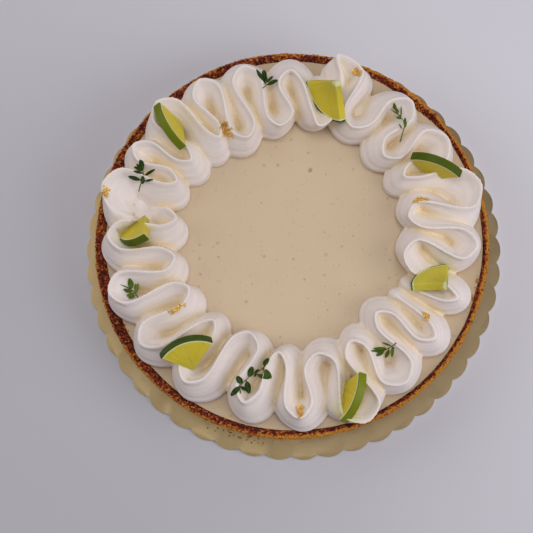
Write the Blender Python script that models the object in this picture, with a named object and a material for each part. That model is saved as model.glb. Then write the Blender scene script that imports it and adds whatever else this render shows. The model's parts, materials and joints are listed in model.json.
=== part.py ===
"""Key lime pie on a scalloped gold card, with a piped cream border, lime quarters, thyme and gold leaf.

Millimetres are used for every named size and turned into metres when a mesh is made. The origin is the
centre of the card's underside, +Z is up, and angles run anticlockwise from +X, seen from above.
"""

import math
import random

import bmesh
import bpy
from mathutils import Vector
from mathutils.bvhtree import BVHTree

MM = 0.001
CLEARANCE = 0.3  # gap between touching pieces

# Card
CARD_TIP_RADIUS = 127.0
CARD_VALLEY_RADIUS = 124.5
CARD_THICKNESS = 2.0
CARD_SCALLOPS = 50
CARD_FIRST_TIP_DEGREES = -0.5
CARD_POINTS_PER_SCALLOP = 4

# Crust
CRUST_RIM_RADIUS = 114.8
CRUST_RIM_SHIFT = 0.55  # the rim reaches a little further out on the left
CRUST_RIM_SHIFT_DEGREES = 200.0
CRUST_INNER_RADIUS = 110.4
CRUST_INNER_SHIFT = 0.75  # and its inner face a little less far in on the right
CRUST_INNER_SHIFT_DEGREES = 340.0
CRUST_FOOT_RADIUS = 111.6
CRUST_RIM_HEIGHT = 34.1
CRUST_FLOOR_THICKNESS = 6.0
CRUST_TOP_UNEVEN = 0.5
CRUST_WAVER = 0.25

# Crumbly thick stretches of the rim: degrees of the middle, degrees of spread, depth inward
CRUST_CHUNKS = (
    (48.0, 8.0, 2.0),
    (199.0, 8.0, 1.5),
    (343.0, 5.0, 0.9),
)
AROUND = 108  # steps round the crust and the filling

# Filling
FILLING_TOP = 31.0
FILLING_EDGE_RISE = 0.3

# Cream
CREAM_FOOT = FILLING_TOP + FILLING_EDGE_RISE + 0.1
CREAM_CREST = 50.5
CREAM_HALF_WIDTH = 8.2
CREAM_OUTER_WIDENING = 1.8  # the outer turns spread this much wider on each side
CREAM_WIDENING_RADII = (86.0, 98.0)  # over these radii of the foot
CREAM_BED_TOP = 39.0
CREAM_BED_RADII = (71.0, 97.0)
TURN_DEPTH = 7.5  # how far from its end a turn reaches its full width
STEPS_PER_POINT = 7
CREAM_VOXEL = 0.9
CREAM_TRIANGLES = 5100

# Height fraction and share of the half width, from the foot of the cream to its thin crest
CREAM_SECTION = (
    (0.0, 0.88),
    (0.12, 1.0),
    (0.32, 0.97),
    (0.5, 0.80),
    (0.66, 0.58),
    (0.8, 0.37),
    (0.91, 0.21),
    (1.0, 0.09),
)

# Each stroke of the piping bag as its turns, in order: crest degrees, crest radius, half width of the
# turn (0 for a single point on the way), then degrees and radius of the turn's foot on the filling.
STROKES = (
    (
        (-24.5, 65.5, 0.0, -21.5, 67.0),
        (-22.5, 99.8, 4.2, -20.0, 98.6),
        (-11.5, 64.5, 9.6, -4.5, 69.0),
        (-4.3, 105.0, 8.4, -2.3, 98.2),
        (7.5, 67.0, 7.4, 12.5, 70.7),
        (14.3, 111.5, 11.6, 12.0, 100.5),
        (27.0, 72.3, 4.7, 28.0, 69.7),
        (31.4, 105.3, 10.4, 33.5, 99.2),
        (39.8, 70.0, 7.3, 44.6, 69.7),
        (48.3, 104.5, 8.2, 52.0, 99.2),
        (60.3, 71.7, 8.9, 62.7, 73.7),
        (66.0, 103.5, 0.0, 67.3, 99.5),
        (70.5, 109.0, 0.0, 70.8, 100.8),
        (75.5, 109.5, 0.0, 74.2, 100.5),
        (72.5, 99.0, 0.0, 72.8, 95.5),
        (69.5, 84.0, 0.0, 72.0, 86.0),
    ),
    (
        (80.5, 99.0, 0.0, 81.5, 100.5),
        (77.0, 88.0, 0.0, 80.0, 90.0),
        (75.0, 64.8, 6.0, 81.0, 75.0),
        (90.0, 97.2, 7.0, 90.5, 100.5),
        (95.0, 63.7, 7.4, 99.5, 69.7),
        (105.6, 103.8, 8.1, 107.0, 101.0),
        (113.4, 62.0, 7.0, 116.3, 64.5),
        (120.2, 106.3, 8.1, 121.5, 101.5),
        (125.5, 70.5, 4.1, 130.8, 68.7),
        (134.8, 111.3, 9.4, 137.5, 101.0),
        (143.0, 72.4, 5.1, 143.8, 69.2),
        (150.0, 105.4, 6.5, 151.5, 100.5),
        (154.8, 72.6, 4.7, 159.0, 72.7),
        (164.8, 112.6, 11.7, 169.0, 101.0),
        (172.6, 85.0, 0.0, 175.0, 88.0),
    ),
    (
        (170.5, 82.0, 0.0, 173.0, 84.0),
        (172.0, 66.3, 5.4, 177.7, 68.7),
        (180.3, 104.7, 8.2, 183.3, 100.5),
        (191.3, 67.6, 6.8, 195.3, 70.5),
        (198.0, 108.5, 9.0, 200.5, 101.0),
        (208.0, 65.8, 6.8, 213.3, 68.9),
        (216.4, 105.3, 8.2, 218.5, 101.0),
        (228.7, 66.2, 5.4, 230.0, 67.5),
        (234.4, 102.7, 8.2, 237.0, 100.5),
        (247.4, 61.2, 8.0, 250.3, 66.0),
        (254.3, 98.9, 6.4, 257.0, 99.5),
        (263.5, 68.0, 5.2, 269.0, 70.3),
        (272.0, 104.0, 7.3, 273.6, 101.0),
        (281.6, 70.0, 8.7, 285.4, 68.0),
        (291.0, 113.8, 10.5, 290.8, 100.5),
        (297.5, 69.8, 6.4, 302.3, 68.2),
        (306.3, 105.3, 9.9, 307.5, 98.8),
        (315.6, 66.0, 6.0, 317.7, 63.8),
        (322.6, 99.2, 5.9, 324.0, 98.8),
        (329.7, 60.0, 0.0, 331.0, 65.0),
    ),
)
TURN_MIDDLE_RADIUS = 87.0  # turns outside this radius are outer turns

# Lime quarters: x, y, z of the cut corner, heading of the steepest way up, slope, turn in its plane, radius
LIME_THICKNESS = 4.8
LIME_RIND_ROUNDING = 0.7
LIME_SEGMENTS = 10
LIMES_FACE_UP = (2, 3, 5, 7)  # these have no cream over them
LIME_OPEN_ABOVE = 20.0
LIMES = (
    (-65.4, 67.8, 38.5, 207, 65, 8, 21.5),
    (-83.3, 11.1, 42.8, 315, 50, -71, 20.3),
    (-55.7, -76.1, 43.2, 111, 45, -5, 21.6),
    (28.4, -86.9, 38.6, 347, 64, -19, 21.3),
    (85.9, -32.1, 53.6, 282, 48, -153, 19.8),
    (81.5, 34.9, 39.4, 68, 79, 1, 21.5),
    (27.1, 85.6, 62.0, 32, 56, -172, 24.0),
)

# Thyme sprigs: x and y of the points along the stem, then tip x and y and half width of each leaf
STEM_RADIUS = 0.55
LEAF_THICKNESS = 0.6
LEAF_OUTLINE = ((0.0, 0.3), (0.5, 1.0), (1.0, 0.15))  # share of the length and of the half width
LEAF_LEAST_HALF_WIDTH = 0.7
LEAF_DROOP = 0.12
LIFT_STEP = 0.2
SPRIGS = (
    (
        ((-16.3, 85.7), (-14.1, 87.5), (-15.0, 90.1), (-15.7, 92.6)),
        (
            (-19.9, 97.6, 1.14), (-15.8, 98.2, 1.51), (-10.4, 94.4, 0.88), (-7.4, 90.3, 1.2),
            (-14.3, 94.4, 0.69),
        ),
    ),
    (
        ((-88.2, 26.0), (-86.6, 29.0), (-85.3, 32.2), (-85.1, 35.3), (-86.4, 40.6)),
        (
            (-93.5, 33.4, 1.2), (-78.4, 38.0, 0.88), (-79.1, 31.6, 0.57), (-86.9, 43.6, 1.45),
            (-90.6, 39.5, 1.07), (-90.6, 36.7, 0.82),
        ),
    ),
    (
        ((-86.9, -36.2), (-88.3, -34.1), (-90.6, -31.9), (-92.2, -30.3)),
        (
            (-92.2, -25.2, 1.64), (-95.7, -31.3, 1.14), (-93.6, -35.1, 1.07), (-92.4, -36.8, 0.76),
            (-87.0, -28.3, 1.14), (-97.3, -28.7, 0.32),
        ),
    ),
    (
        ((-28.3, -90.4), (-28.9, -86.7), (-24.4, -81.9), (-20.1, -79.1), (-14.2, -74.3)),
        (
            (-12.9, -70.8, 1.51), (-11.6, -82.0, 1.64), (-12.4, -82.2, 1.26), (-21.9, -75.7, 1.64),
            (-30.5, -81.1, 1.7), (-33.7, -91.8, 1.51), (-23.7, -90.5, 1.7), (-24.4, -89.0, 0.95),
        ),
    ),
    (
        ((57.6, -63.1), (55.0, -65.0), (51.6, -66.4), (48.7, -66.7)),
        (
            (45.1, -65.8, 0.88), (43.8, -67.2, 0.82), (46.8, -69.7, 1.07), (51.5, -71.1, 1.07),
            (54.9, -70.9, 0.95), (49.7, -62.8, 0.57),
        ),
    ),
    (
        ((63.4, 55.1), (64.3, 58.2), (65.3, 62.1), (63.4, 68.1), (61.1, 72.9)),
        (
            (59.9, 76.9, 1.01), (57.9, 72.7, 0.32), (63.9, 74.5, 0.38), (60.6, 67.2, 0.82),
            (65.6, 66.3, 0.76), (61.9, 63.2, 0.38), (66.4, 64.1, 0.63),
        ),
    ),
)

# Gold leaf: x, y, heading and length of each fleck
GOLD_FLECKS = (
    (-37.7, 61.7, 120, 8.0),
    (-107.3, 24.6, 70, 6.5),
    (-64.0, -43.1, 215, 9.0),
    (4.3, -100.6, 95, 6.5),
    (74.7, -47.8, 300, 4.5),
    (73.8, 18.8, 15, 9.0),
    (38.8, 95.6, 70, 5.5),
)
FLECK_HALF_WIDTH = 1.5
FLECK_STANDS = 0.5
FLECK_SINKS = 0.9


def clear_scene():
    for old in list(bpy.data.objects):
        bpy.data.objects.remove(old, do_unlink=True)


def principled(name, colour, roughness, metallic=0.0):
    material = bpy.data.materials.new(name)
    material.use_nodes = True
    shader = material.node_tree.nodes["Principled BSDF"]
    shader.inputs["Base Color"].default_value = (*colour, 1.0)
    shader.inputs["Roughness"].default_value = roughness
    shader.inputs["Metallic"].default_value = metallic
    material.diffuse_color = (*colour, 1.0)
    return material


def mesh_object(name, points, faces, material=None):
    """A named object from points in millimetres, with its faces turned outward."""
    mesh = bpy.data.meshes.new(name)
    mesh.from_pydata([Vector(point) * MM for point in points], [], faces)
    shell = bmesh.new()
    shell.from_mesh(mesh)
    bmesh.ops.recalc_face_normals(shell, faces=shell.faces)
    shell.to_mesh(mesh)
    shell.free()
    if material:
        mesh.materials.append(material)
    placed = bpy.data.objects.new(name, mesh)
    bpy.context.collection.objects.link(placed)
    return placed


def guide(placed):
    placed.hide_render = True
    placed.display_type = "WIRE"
    return placed


def bake_modifiers(placed):
    """Replace the object's mesh by what its modifiers make of it."""
    graph = bpy.context.evaluated_depsgraph_get()
    made = bpy.data.meshes.new_from_object(placed.evaluated_get(graph))
    placed.modifiers.clear()
    placed.data = made


def boolean(placed, others, operation, solver="EXACT"):
    """Cut the others from the object or join them to it, and remove them."""
    group = bpy.data.collections.new(placed.name + "_" + operation.lower())
    for other in others:
        group.objects.link(other)
    change = placed.modifiers.new(operation, "BOOLEAN")
    change.operand_type = "COLLECTION"
    change.collection = group
    change.operation = operation
    change.solver = solver
    bake_modifiers(placed)
    for other in list(group.objects):
        bpy.data.objects.remove(other, do_unlink=True)
    bpy.data.collections.remove(group)


def polar(degrees, radius, height=0.0):
    turn = math.radians(degrees)
    return Vector((radius * math.cos(turn), radius * math.sin(turn), height))


def rings_to_faces(rings, around, capped=True):
    """Quads between closed rings of equal length, and a cap on the first and the last."""
    faces = []
    for ring in range(rings - 1):
        for step in range(around):
            following = (step + 1) % around
            low = ring * around
            high = low + around
            faces.append((low + step, low + following, high + following, high + step))
    if capped:
        faces.append(tuple(reversed(range(around))))
        faces.append(tuple(range((rings - 1) * around, rings * around)))
    return faces


# --- Card --------------------------------------------------------------------------------------------


def make_card():
    count = CARD_SCALLOPS * CARD_POINTS_PER_SCALLOP
    pitch = 360.0 / CARD_SCALLOPS
    depth = CARD_TIP_RADIUS - CARD_VALLEY_RADIUS
    points = []
    for height in (0.0, CARD_THICKNESS):
        for step in range(count):
            across = 2.0 * (step % CARD_POINTS_PER_SCALLOP) / CARD_POINTS_PER_SCALLOP - 1.0
            radius = CARD_VALLEY_RADIUS + depth * math.sqrt(1.0 - across * across)
            degrees = CARD_FIRST_TIP_DEGREES + (step / CARD_POINTS_PER_SCALLOP - 0.5) * pitch
            points.append(polar(degrees, radius, height))
    material = principled("gold_card", (0.42, 0.32, 0.17), 0.38, 0.7)
    return mesh_object("cake_card", points, rings_to_faces(2, count), material)


# --- Crust and filling -------------------------------------------------------------------------------


def uneven(degrees, seed):
    """A smooth waver round the pie, between about -1 and 1."""
    turn = math.radians(degrees)
    return 0.5 * math.sin(7 * turn + seed) + 0.3 * math.sin(13 * turn + 2.1 * seed) + 0.2 * math.sin(
        29 * turn + 3.7 * seed
    )


def rim_radius(degrees):
    shift = CRUST_RIM_SHIFT * math.cos(math.radians(degrees - CRUST_RIM_SHIFT_DEGREES))
    return CRUST_RIM_RADIUS + shift + CRUST_WAVER * uneven(degrees, 1.3)


def rim_height(degrees):
    return CRUST_RIM_HEIGHT - CRUST_TOP_UNEVEN * (1.0 + uneven(degrees, 4.2)) * 0.5


def inner_radius(degrees):
    """Radius of the crust's inner face, with the crumbly stretches standing further in."""
    shift = CRUST_INNER_SHIFT * math.cos(math.radians(degrees - CRUST_INNER_SHIFT_DEGREES))
    radius = CRUST_INNER_RADIUS + shift
    radius += CRUST_WAVER * uneven(degrees, 2.6)
    for middle, spread, depth in CRUST_CHUNKS:
        away = (degrees - middle + 180.0) % 360.0 - 180.0
        radius -= depth * math.exp(-((away / spread) ** 2))
    return radius


def around_degrees():
    return [360.0 * step / AROUND for step in range(AROUND)]


def make_crust():
    under = CARD_THICKNESS + CLEARANCE
    floor = under + CRUST_FLOOR_THICKNESS
    points = []
    for share, height in ((0.0, under), (0.05, under + 1.2), (1.0, 0.0)):
        for degrees in around_degrees():
            foot = CRUST_FOOT_RADIUS - (1.0 if height == under else 0.0)
            radius = foot + (rim_radius(degrees) - foot) * share
            points.append(polar(degrees, radius, height or rim_height(degrees) - 1.0))
    for degrees in around_degrees():
        points.append(polar(degrees, rim_radius(degrees) - 0.9, rim_height(degrees)))
    for degrees in around_degrees():
        points.append(polar(degrees, inner_radius(degrees) + 0.8, rim_height(degrees) - 0.1))
    for height in (CRUST_RIM_HEIGHT - 2.0, floor):
        for degrees in around_degrees():
            points.append(polar(degrees, inner_radius(degrees), height))
    material = principled("biscuit_crumb", (0.33, 0.13, 0.045), 0.85)
    return mesh_object("crust", points, rings_to_faces(7, AROUND), material)


def make_filling():
    bottom = CARD_THICKNESS + CLEARANCE + CRUST_FLOOR_THICKNESS + CLEARANCE
    rows = (
        (CLEARANCE, bottom),
        (CLEARANCE, FILLING_TOP + FILLING_EDGE_RISE),
        (CLEARANCE + 0.8, FILLING_TOP + FILLING_EDGE_RISE),
        (CLEARANCE + 3.0, FILLING_TOP),
    )
    points = []
    for inset, height in rows:
        for degrees in around_degrees():
            points.append(polar(degrees, inner_radius(degrees) - inset, height))
    material = principled("lime_filling", (0.60, 0.47, 0.30), 0.42)
    return mesh_object("filling", points, rings_to_faces(len(rows), AROUND), material)


def crust_clearance_ring():
    """The space in and just round the crust's rim that the cream keeps out of."""
    points = []
    for degrees in around_degrees():
        points.append(polar(degrees, inner_radius(degrees) - CLEARANCE, FILLING_TOP - 4.0))
    for degrees in around_degrees():
        points.append(polar(degrees, inner_radius(degrees) - CLEARANCE, rim_height(degrees) + CLEARANCE))
    for degrees in around_degrees():
        points.append(polar(degrees, CARD_TIP_RADIUS, rim_height(degrees) + CLEARANCE))
    for degrees in around_degrees():
        points.append(polar(degrees, CARD_TIP_RADIUS, FILLING_TOP - 4.0))
    faces = rings_to_faces(4, AROUND, capped=False)
    for step in range(AROUND):
        following = (step + 1) % AROUND
        last = 3 * AROUND
        faces.append((last + step, last + following, following, step))
    return guide(mesh_object("crust_clearance", points, faces))


def below_cream():
    reach = CARD_TIP_RADIUS
    points = [
        (x, y, z) for z in (FILLING_TOP - 8.0, CREAM_FOOT + CLEARANCE) for x, y in
        ((-reach, -reach), (reach, -reach), (reach, reach), (-reach, reach))
    ]
    return guide(mesh_object("cream_foot_level", points, rings_to_faces(2, 4)))


# --- Cream -------------------------------------------------------------------------------------------


def turn_points(degrees, radius, half_width):
    """The side, end and other side of one turn, or its single point."""
    if half_width == 0.0:
        return [polar(degrees, radius)]
    inward = TURN_DEPTH if radius > TURN_MIDDLE_RADIUS else -TURN_DEPTH
    side_radius = radius - inward
    spread = math.degrees(half_width / side_radius)
    return [
        polar(degrees - spread, side_radius),
        polar(degrees, radius),
        polar(degrees + spread, side_radius),
    ]


def smooth_line(knots):
    """Points along a curve through the knots, closer where the knots are closer."""
    line = []
    padded = [knots[0] * 2 - knots[1], *knots, knots[-1] * 2 - knots[-2]]
    for index in range(1, len(padded) - 2):
        before, start, end, after = padded[index - 1:index + 3]
        leap = math.sqrt((end - start).length)
        leave = (end - before) / ((start - before).length + (end - start).length) * leap ** 2
        arrive = (after - start) / ((after - end).length + (end - start).length) * leap ** 2
        for step in range(STEPS_PER_POINT):
            t = step / STEPS_PER_POINT
            line.append(
                start * (2 * t ** 3 - 3 * t ** 2 + 1)
                + leave * (t ** 3 - 2 * t ** 2 + t)
                + end * (3 * t ** 2 - 2 * t ** 3)
                + arrive * (t ** 3 - t ** 2)
            )
    line.append(knots[-1].copy())
    return line


def end_share(index, count):
    """How much of its full height the cream has near the ends of a stroke."""
    steps = min(index, count - 1 - index)
    rise = min(1.0, steps / (1.5 * STEPS_PER_POINT))
    return 0.62 + 0.38 * math.sin(rise * math.pi / 2)


def foot_half_width(radius):
    start, full = CREAM_WIDENING_RADII
    share = min(1.0, max(0.0, (radius - start) / (full - start)))
    return CREAM_HALF_WIDTH + CREAM_OUTER_WIDENING * share * share * (3.0 - 2.0 * share)


def cream_stroke(name, turns):
    """One ruffled ribbon: wide on the filling, thin at the crest, and leaning over as it was piped."""
    crest_knots = []
    foot_knots = []
    for degrees, radius, half_width, foot_degrees, foot_radius in turns:
        crest_knots += turn_points(degrees, radius, half_width)
        foot_knots += turn_points(foot_degrees, foot_radius, half_width)
    crest = smooth_line(crest_knots)
    foot = smooth_line(foot_knots)
    count = len(crest)
    points = []
    bottom = CREAM_FOOT - 1.0
    for index in range(count):
        ahead = min(index + 1, count - 1)
        back = max(index - 1, 0)
        top = bottom + (CREAM_CREST - bottom) * end_share(index, count)
        half_width = foot_half_width(foot[index].length)
        left = []
        right = []
        for share, width in CREAM_SECTION:
            lean = share ** 1.4
            along = (foot[ahead] - foot[back]).lerp(crest[ahead] - crest[back], lean).normalized()
            across = Vector((-along.y, along.x, 0.0)) * half_width * width
            middle = foot[index].lerp(crest[index], lean)
            middle.z = bottom + (top - bottom) * share
            left.append(middle + across)
            right.append(middle - across)
        points += right + left[::-1]
    around = 2 * len(CREAM_SECTION)
    return guide(mesh_object(name, points, rings_to_faces(count, around)))


def cream_bed():
    """The low ring of cream that fills the bottoms of the folds."""
    inner, outer = CREAM_BED_RADII
    points = []
    for radius, height in ((inner, CREAM_FOOT - 1.0), (outer, CREAM_FOOT - 1.0)):
        points += [polar(degrees, radius, height) for degrees in around_degrees()]
    for radius in (outer, inner):
        points += [polar(degrees, radius, CREAM_BED_TOP) for degrees in around_degrees()]
    faces = rings_to_faces(4, AROUND, capped=False)
    last = 3 * AROUND
    for step in range(AROUND):
        following = (step + 1) % AROUND
        faces.append((last + step, last + following, following, step))
    return guide(mesh_object("cream_bed", points, faces))


def keep_largest_piece(placed):
    """Drop loose scraps, so that the object is one body."""
    shell = bmesh.new()
    shell.from_mesh(placed.data)
    unseen = set(shell.verts)
    pieces = []
    while unseen:
        piece = set()
        edge_of_search = [unseen.pop()]
        while edge_of_search:
            vertex = edge_of_search.pop()
            piece.add(vertex)
            for edge in vertex.link_edges:
                other = edge.other_vert(vertex)
                if other in unseen:
                    unseen.remove(other)
                    edge_of_search.append(other)
        pieces.append(piece)
    pieces.sort(key=len)
    for piece in pieces[:-1]:
        bmesh.ops.delete(shell, geom=list(piece), context="VERTS")
    shell.to_mesh(placed.data)
    shell.free()


def make_cream():
    pieces = [cream_stroke(f"stroke_{number}", turns) for number, turns in enumerate(STROKES, 1)]
    pieces.append(cream_bed())
    points = []
    faces = []
    for piece in pieces:
        start = len(points)
        points += [vertex.co / MM for vertex in piece.data.vertices]
        faces += [tuple(start + corner for corner in face.vertices) for face in piece.data.polygons]
        bpy.data.objects.remove(piece, do_unlink=True)
    mesh = bpy.data.meshes.new("cream")
    mesh.from_pydata([point * MM for point in points], [], faces)
    mesh.materials.append(principled("piped_cream", (0.80, 0.76, 0.72), 0.45))
    cream = bpy.data.objects.new("cream", mesh)
    bpy.context.collection.objects.link(cream)
    fuse = cream.modifiers.new("fuse", "REMESH")
    fuse.mode = "VOXEL"
    fuse.voxel_size = CREAM_VOXEL * MM
    bake_modifiers(cream)
    soften = cream.modifiers.new("soften", "SMOOTH")
    soften.factor = 0.5
    soften.iterations = 2
    bake_modifiers(cream)
    keep_largest_piece(cream)
    triangles = sum(len(face.vertices) - 2 for face in cream.data.polygons)
    thin = cream.modifiers.new("thin", "DECIMATE")
    thin.ratio = CREAM_TRIANGLES / triangles
    bake_modifiers(cream)
    return cream


# --- Lime --------------------------------------------------------------------------------------------


def lime_quarter(name, place, grow=0.0, open_above=0.0, material=None):
    """A quarter of a lime slice with its cut corner at the place given.

    Grow makes it larger all over, and open_above carries its upper face straight up by that much.
    """
    x, y, z, heading, slope, roll, radius = place
    slope = math.radians(slope)
    up_slope = polar(heading, math.cos(slope), math.sin(slope))
    level = polar(heading + 90.0, 1.0)
    level.z = 0.0
    normal = up_slope.cross(level)
    if normal.z < 0.0:
        normal.negate()
    level = normal.cross(up_slope)
    corner = Vector((x, y, z))
    points = []
    half = LIME_THICKNESS / 2 + grow
    radius += grow
    rows = (
        (-half, LIME_RIND_ROUNDING),
        (-half + LIME_RIND_ROUNDING, 0.0),
        (half - LIME_RIND_ROUNDING, 0.0),
        (half, LIME_RIND_ROUNDING),
    )
    back = grow * math.sqrt(2.0)
    for height, rounding in rows:
        middle = math.radians(roll)
        spread = math.pi / 4 + grow / radius
        toward = up_slope * math.cos(middle) + level * math.sin(middle)
        points.append(corner - toward * back + normal * height)
        for step in range(LIME_SEGMENTS + 1):
            angle = middle + spread * (2 * step / LIME_SEGMENTS - 1)
            ray = up_slope * math.cos(angle) + level * math.sin(angle)
            points.append(corner + ray * (radius - rounding) + normal * height)
    around = LIME_SEGMENTS + 2
    if open_above:
        points += [point + Vector((0.0, 0.0, open_above)) for point in points[-around:]]
    return mesh_object(name, points, rings_to_faces(len(points) // around, around), material)


def make_limes():
    material = principled("lime", (0.42, 0.44, 0.06), 0.4)
    return [lime_quarter(f"lime_{number}", place, material=material) for number, place in enumerate(LIMES, 1)]


def lime_pockets():
    pockets = []
    for number, place in enumerate(LIMES, 1):
        open_above = LIME_OPEN_ABOVE if number in LIMES_FACE_UP else 0.0
        pockets.append(guide(lime_quarter(f"lime_pocket_{number}", place, CLEARANCE, open_above)))
    return pockets


# --- Gold leaf ---------------------------------------------------------------------------------------


def surface_height(tree, x, y, otherwise):
    """Height of the first surface met from above, in millimetres."""
    hit = tree.ray_cast(Vector((x, y, 90.0)) * MM, Vector((0.0, 0.0, -1.0)))[0]
    if hit is None:
        return otherwise
    return hit.z / MM


def gold_flecks(tree):
    """Crumpled flecks, each with its underside in the cream and its top just above it."""
    draw = random.Random(11)
    flecks = []
    for number, (x, y, heading, length) in enumerate(GOLD_FLECKS, 1):
        along = polar(heading, 1.0)
        across = polar(heading + 90.0, 1.0)
        outline = []
        for step in range(8):
            turn = math.tau * step / 8
            wide = FLECK_HALF_WIDTH * draw.uniform(0.7, 1.3)
            spot = Vector((x, y, 0.0)) + along * math.cos(turn) * length / 2 + across * math.sin(turn) * wide
            outline.append(spot)
        points = []
        for side in (-FLECK_SINKS, FLECK_STANDS):
            for spot in outline:
                level = surface_height(tree, spot.x, spot.y, CREAM_CREST)
                points.append((spot.x, spot.y, level + side + draw.uniform(-0.1, 0.2)))
        middle = surface_height(tree, x, y, CREAM_CREST)
        points.append((x, y, middle - FLECK_SINKS - 0.4))
        points.append((x, y, middle + FLECK_STANDS + 0.2))
        faces = rings_to_faces(2, 8, capped=False)
        for step in range(8):
            following = (step + 1) % 8
            faces.append((16, following, step))
            faces.append((17, 8 + step, 8 + following))
        flecks.append(mesh_object(f"fleck_{number}", points, faces))
    return flecks


# --- Thyme -------------------------------------------------------------------------------------------


def leaf_solid(name, base, tip, half_width, ground):
    """A thin wavy leaf from its base on the stem to its tip, its upper and lower face split alike."""
    reach = Vector((tip[0] - base.x, tip[1] - base.y, 0.0))
    across = Vector((-reach.y, reach.x, 0.0)).normalized()
    top = []
    for share, width in LEAF_OUTLINE:
        for side in (-1, 0, 1):
            spot = base + reach * share + across * half_width * width * side
            rest = ground(spot.x, spot.y) + 0.45 + LEAF_THICKNESS
            lift = base.z + LEAF_DROOP * reach.length * share + (0.25 if side else 0.0)
            top.append(Vector((spot.x, spot.y, max(rest, lift))))
    points = [spot - Vector((0.0, 0.0, LEAF_THICKNESS)) for spot in top] + top
    faces = []
    upper = len(top)
    for row in range(len(LEAF_OUTLINE) - 1):
        for column in range(2):
            a = row * 3 + column
            b = a + 1
            c = a + 4
            d = a + 3
            faces += [(a, c, b), (a, d, c)]
            faces += [(upper + a, upper + b, upper + c), (upper + a, upper + c, upper + d)]
    border = [0, 1, 2, 5, 8, 7, 6, 3]
    for step, start in enumerate(border):
        end = border[(step + 1) % len(border)]
        faces += [(start, end, upper + end), (start, upper + end, upper + start)]
    return mesh_object(name, points, faces)


def stem_solid(name, line):
    """A five-sided tapering stem through the points of the line."""
    points = []
    for index, spot in enumerate(line):
        along = (line[min(index + 1, len(line) - 1)] - line[max(index - 1, 0)]).normalized()
        side = along.cross(Vector((0.0, 0.0, 1.0))).normalized()
        up = side.cross(along)
        radius = STEM_RADIUS * (1.0 - 0.35 * index / (len(line) - 1))
        for step in range(5):
            turn = math.tau * (step + 0.5) / 5
            points.append(spot + side * radius * math.cos(turn) + up * radius * math.sin(turn))
    return mesh_object(name, points, rings_to_faces(len(line), 5))


def lift_clear(placed, tree):
    """Raise the object in small steps until it lies free of the surface in the tree."""
    while BVHTree.FromObject(placed, bpy.context.evaluated_depsgraph_get()).overlap(tree):
        for vertex in placed.data.vertices:
            vertex.co.z += LIFT_STEP * MM
        bpy.context.view_layer.update()
    for vertex in placed.data.vertices:
        vertex.co.z += LIFT_STEP * MM


def leaf_base(line, tip):
    """The place on the stem from which a leaf reaches its tip at a slant."""
    spots = []
    for start, end in zip(line, line[1:]):
        spots += [start.lerp(end, share) for share in (0.05, 0.35, 0.65, 0.92)]
    return min(spots, key=lambda spot: math.hypot(spot.x - tip[0], spot.y - tip[1])).copy()


def make_sprig(number, row, tree, material):
    stem_points, leaves = row

    def ground(px, py):
        near = ((0.0, 0.0), (0.6, 0.0), (-0.6, 0.0), (0.0, 0.6), (0.0, -0.6))
        return max(surface_height(tree, px + dx, py + dy, FILLING_TOP) for dx, dy in near)

    heights = [ground(x, y) + 1.1 for x, y in stem_points]
    line = []
    for index, (x, y) in enumerate(stem_points):
        line.append(Vector((x, y, max(heights[max(index - 1, 0):index + 2]))))
    stem = stem_solid(f"stem_{number}", line)
    blades = []
    for leaf, (x, y, half_width) in enumerate(leaves):
        base = leaf_base(line, (x, y)) + Vector((0.0, 0.0, 0.05 + 0.04 * leaf))
        wide = max(half_width, LEAF_LEAST_HALF_WIDTH)
        blades.append(leaf_solid(f"blade_{number}_{leaf}", base, (x, y), wide, ground))
    boolean(stem, blades, "UNION")
    keep_largest_piece(stem)
    lift_clear(stem, tree)
    stem.name = f"thyme_{number}"
    stem.data.name = stem.name
    stem.data.materials.clear()
    stem.data.materials.append(material)
    return stem


# --- The whole pie -----------------------------------------------------------------------------------


def main():
    clear_scene()
    make_card()
    make_crust()
    make_filling()
    cream = make_cream()
    boolean(cream, [below_cream(), crust_clearance_ring(), *lime_pockets()], "DIFFERENCE")
    keep_largest_piece(cream)
    tree = BVHTree.FromObject(cream, bpy.context.evaluated_depsgraph_get())
    boolean(cream, gold_flecks(tree), "UNION")
    keep_largest_piece(cream)
    make_limes()
    tree = BVHTree.FromObject(cream, bpy.context.evaluated_depsgraph_get())
    thyme = principled("thyme", (0.05, 0.12, 0.045), 0.55)
    for number, row in enumerate(SPRIGS, 1):
        make_sprig(number, row, tree, thyme)


main()
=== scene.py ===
"""Looks of a key lime pie on a gold card, with ruffled cream, lime quarters, thyme and gold leaf.

Every piece is an operator of a small add-on. Sizes are in metres in the properties and in millimetres in the
tables, +Z is up, and angles run anticlockwise from +X, seen from above.
"""

import functools
import json
import math
import random
from contextlib import contextmanager

import bmesh
import bpy
import numpy as np
from bpy.props import FloatProperty, FloatVectorProperty, IntProperty, PointerProperty
from mathutils import Matrix, Vector
from mathutils.bvhtree import BVHTree
from mathutils.kdtree import KDTree

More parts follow.
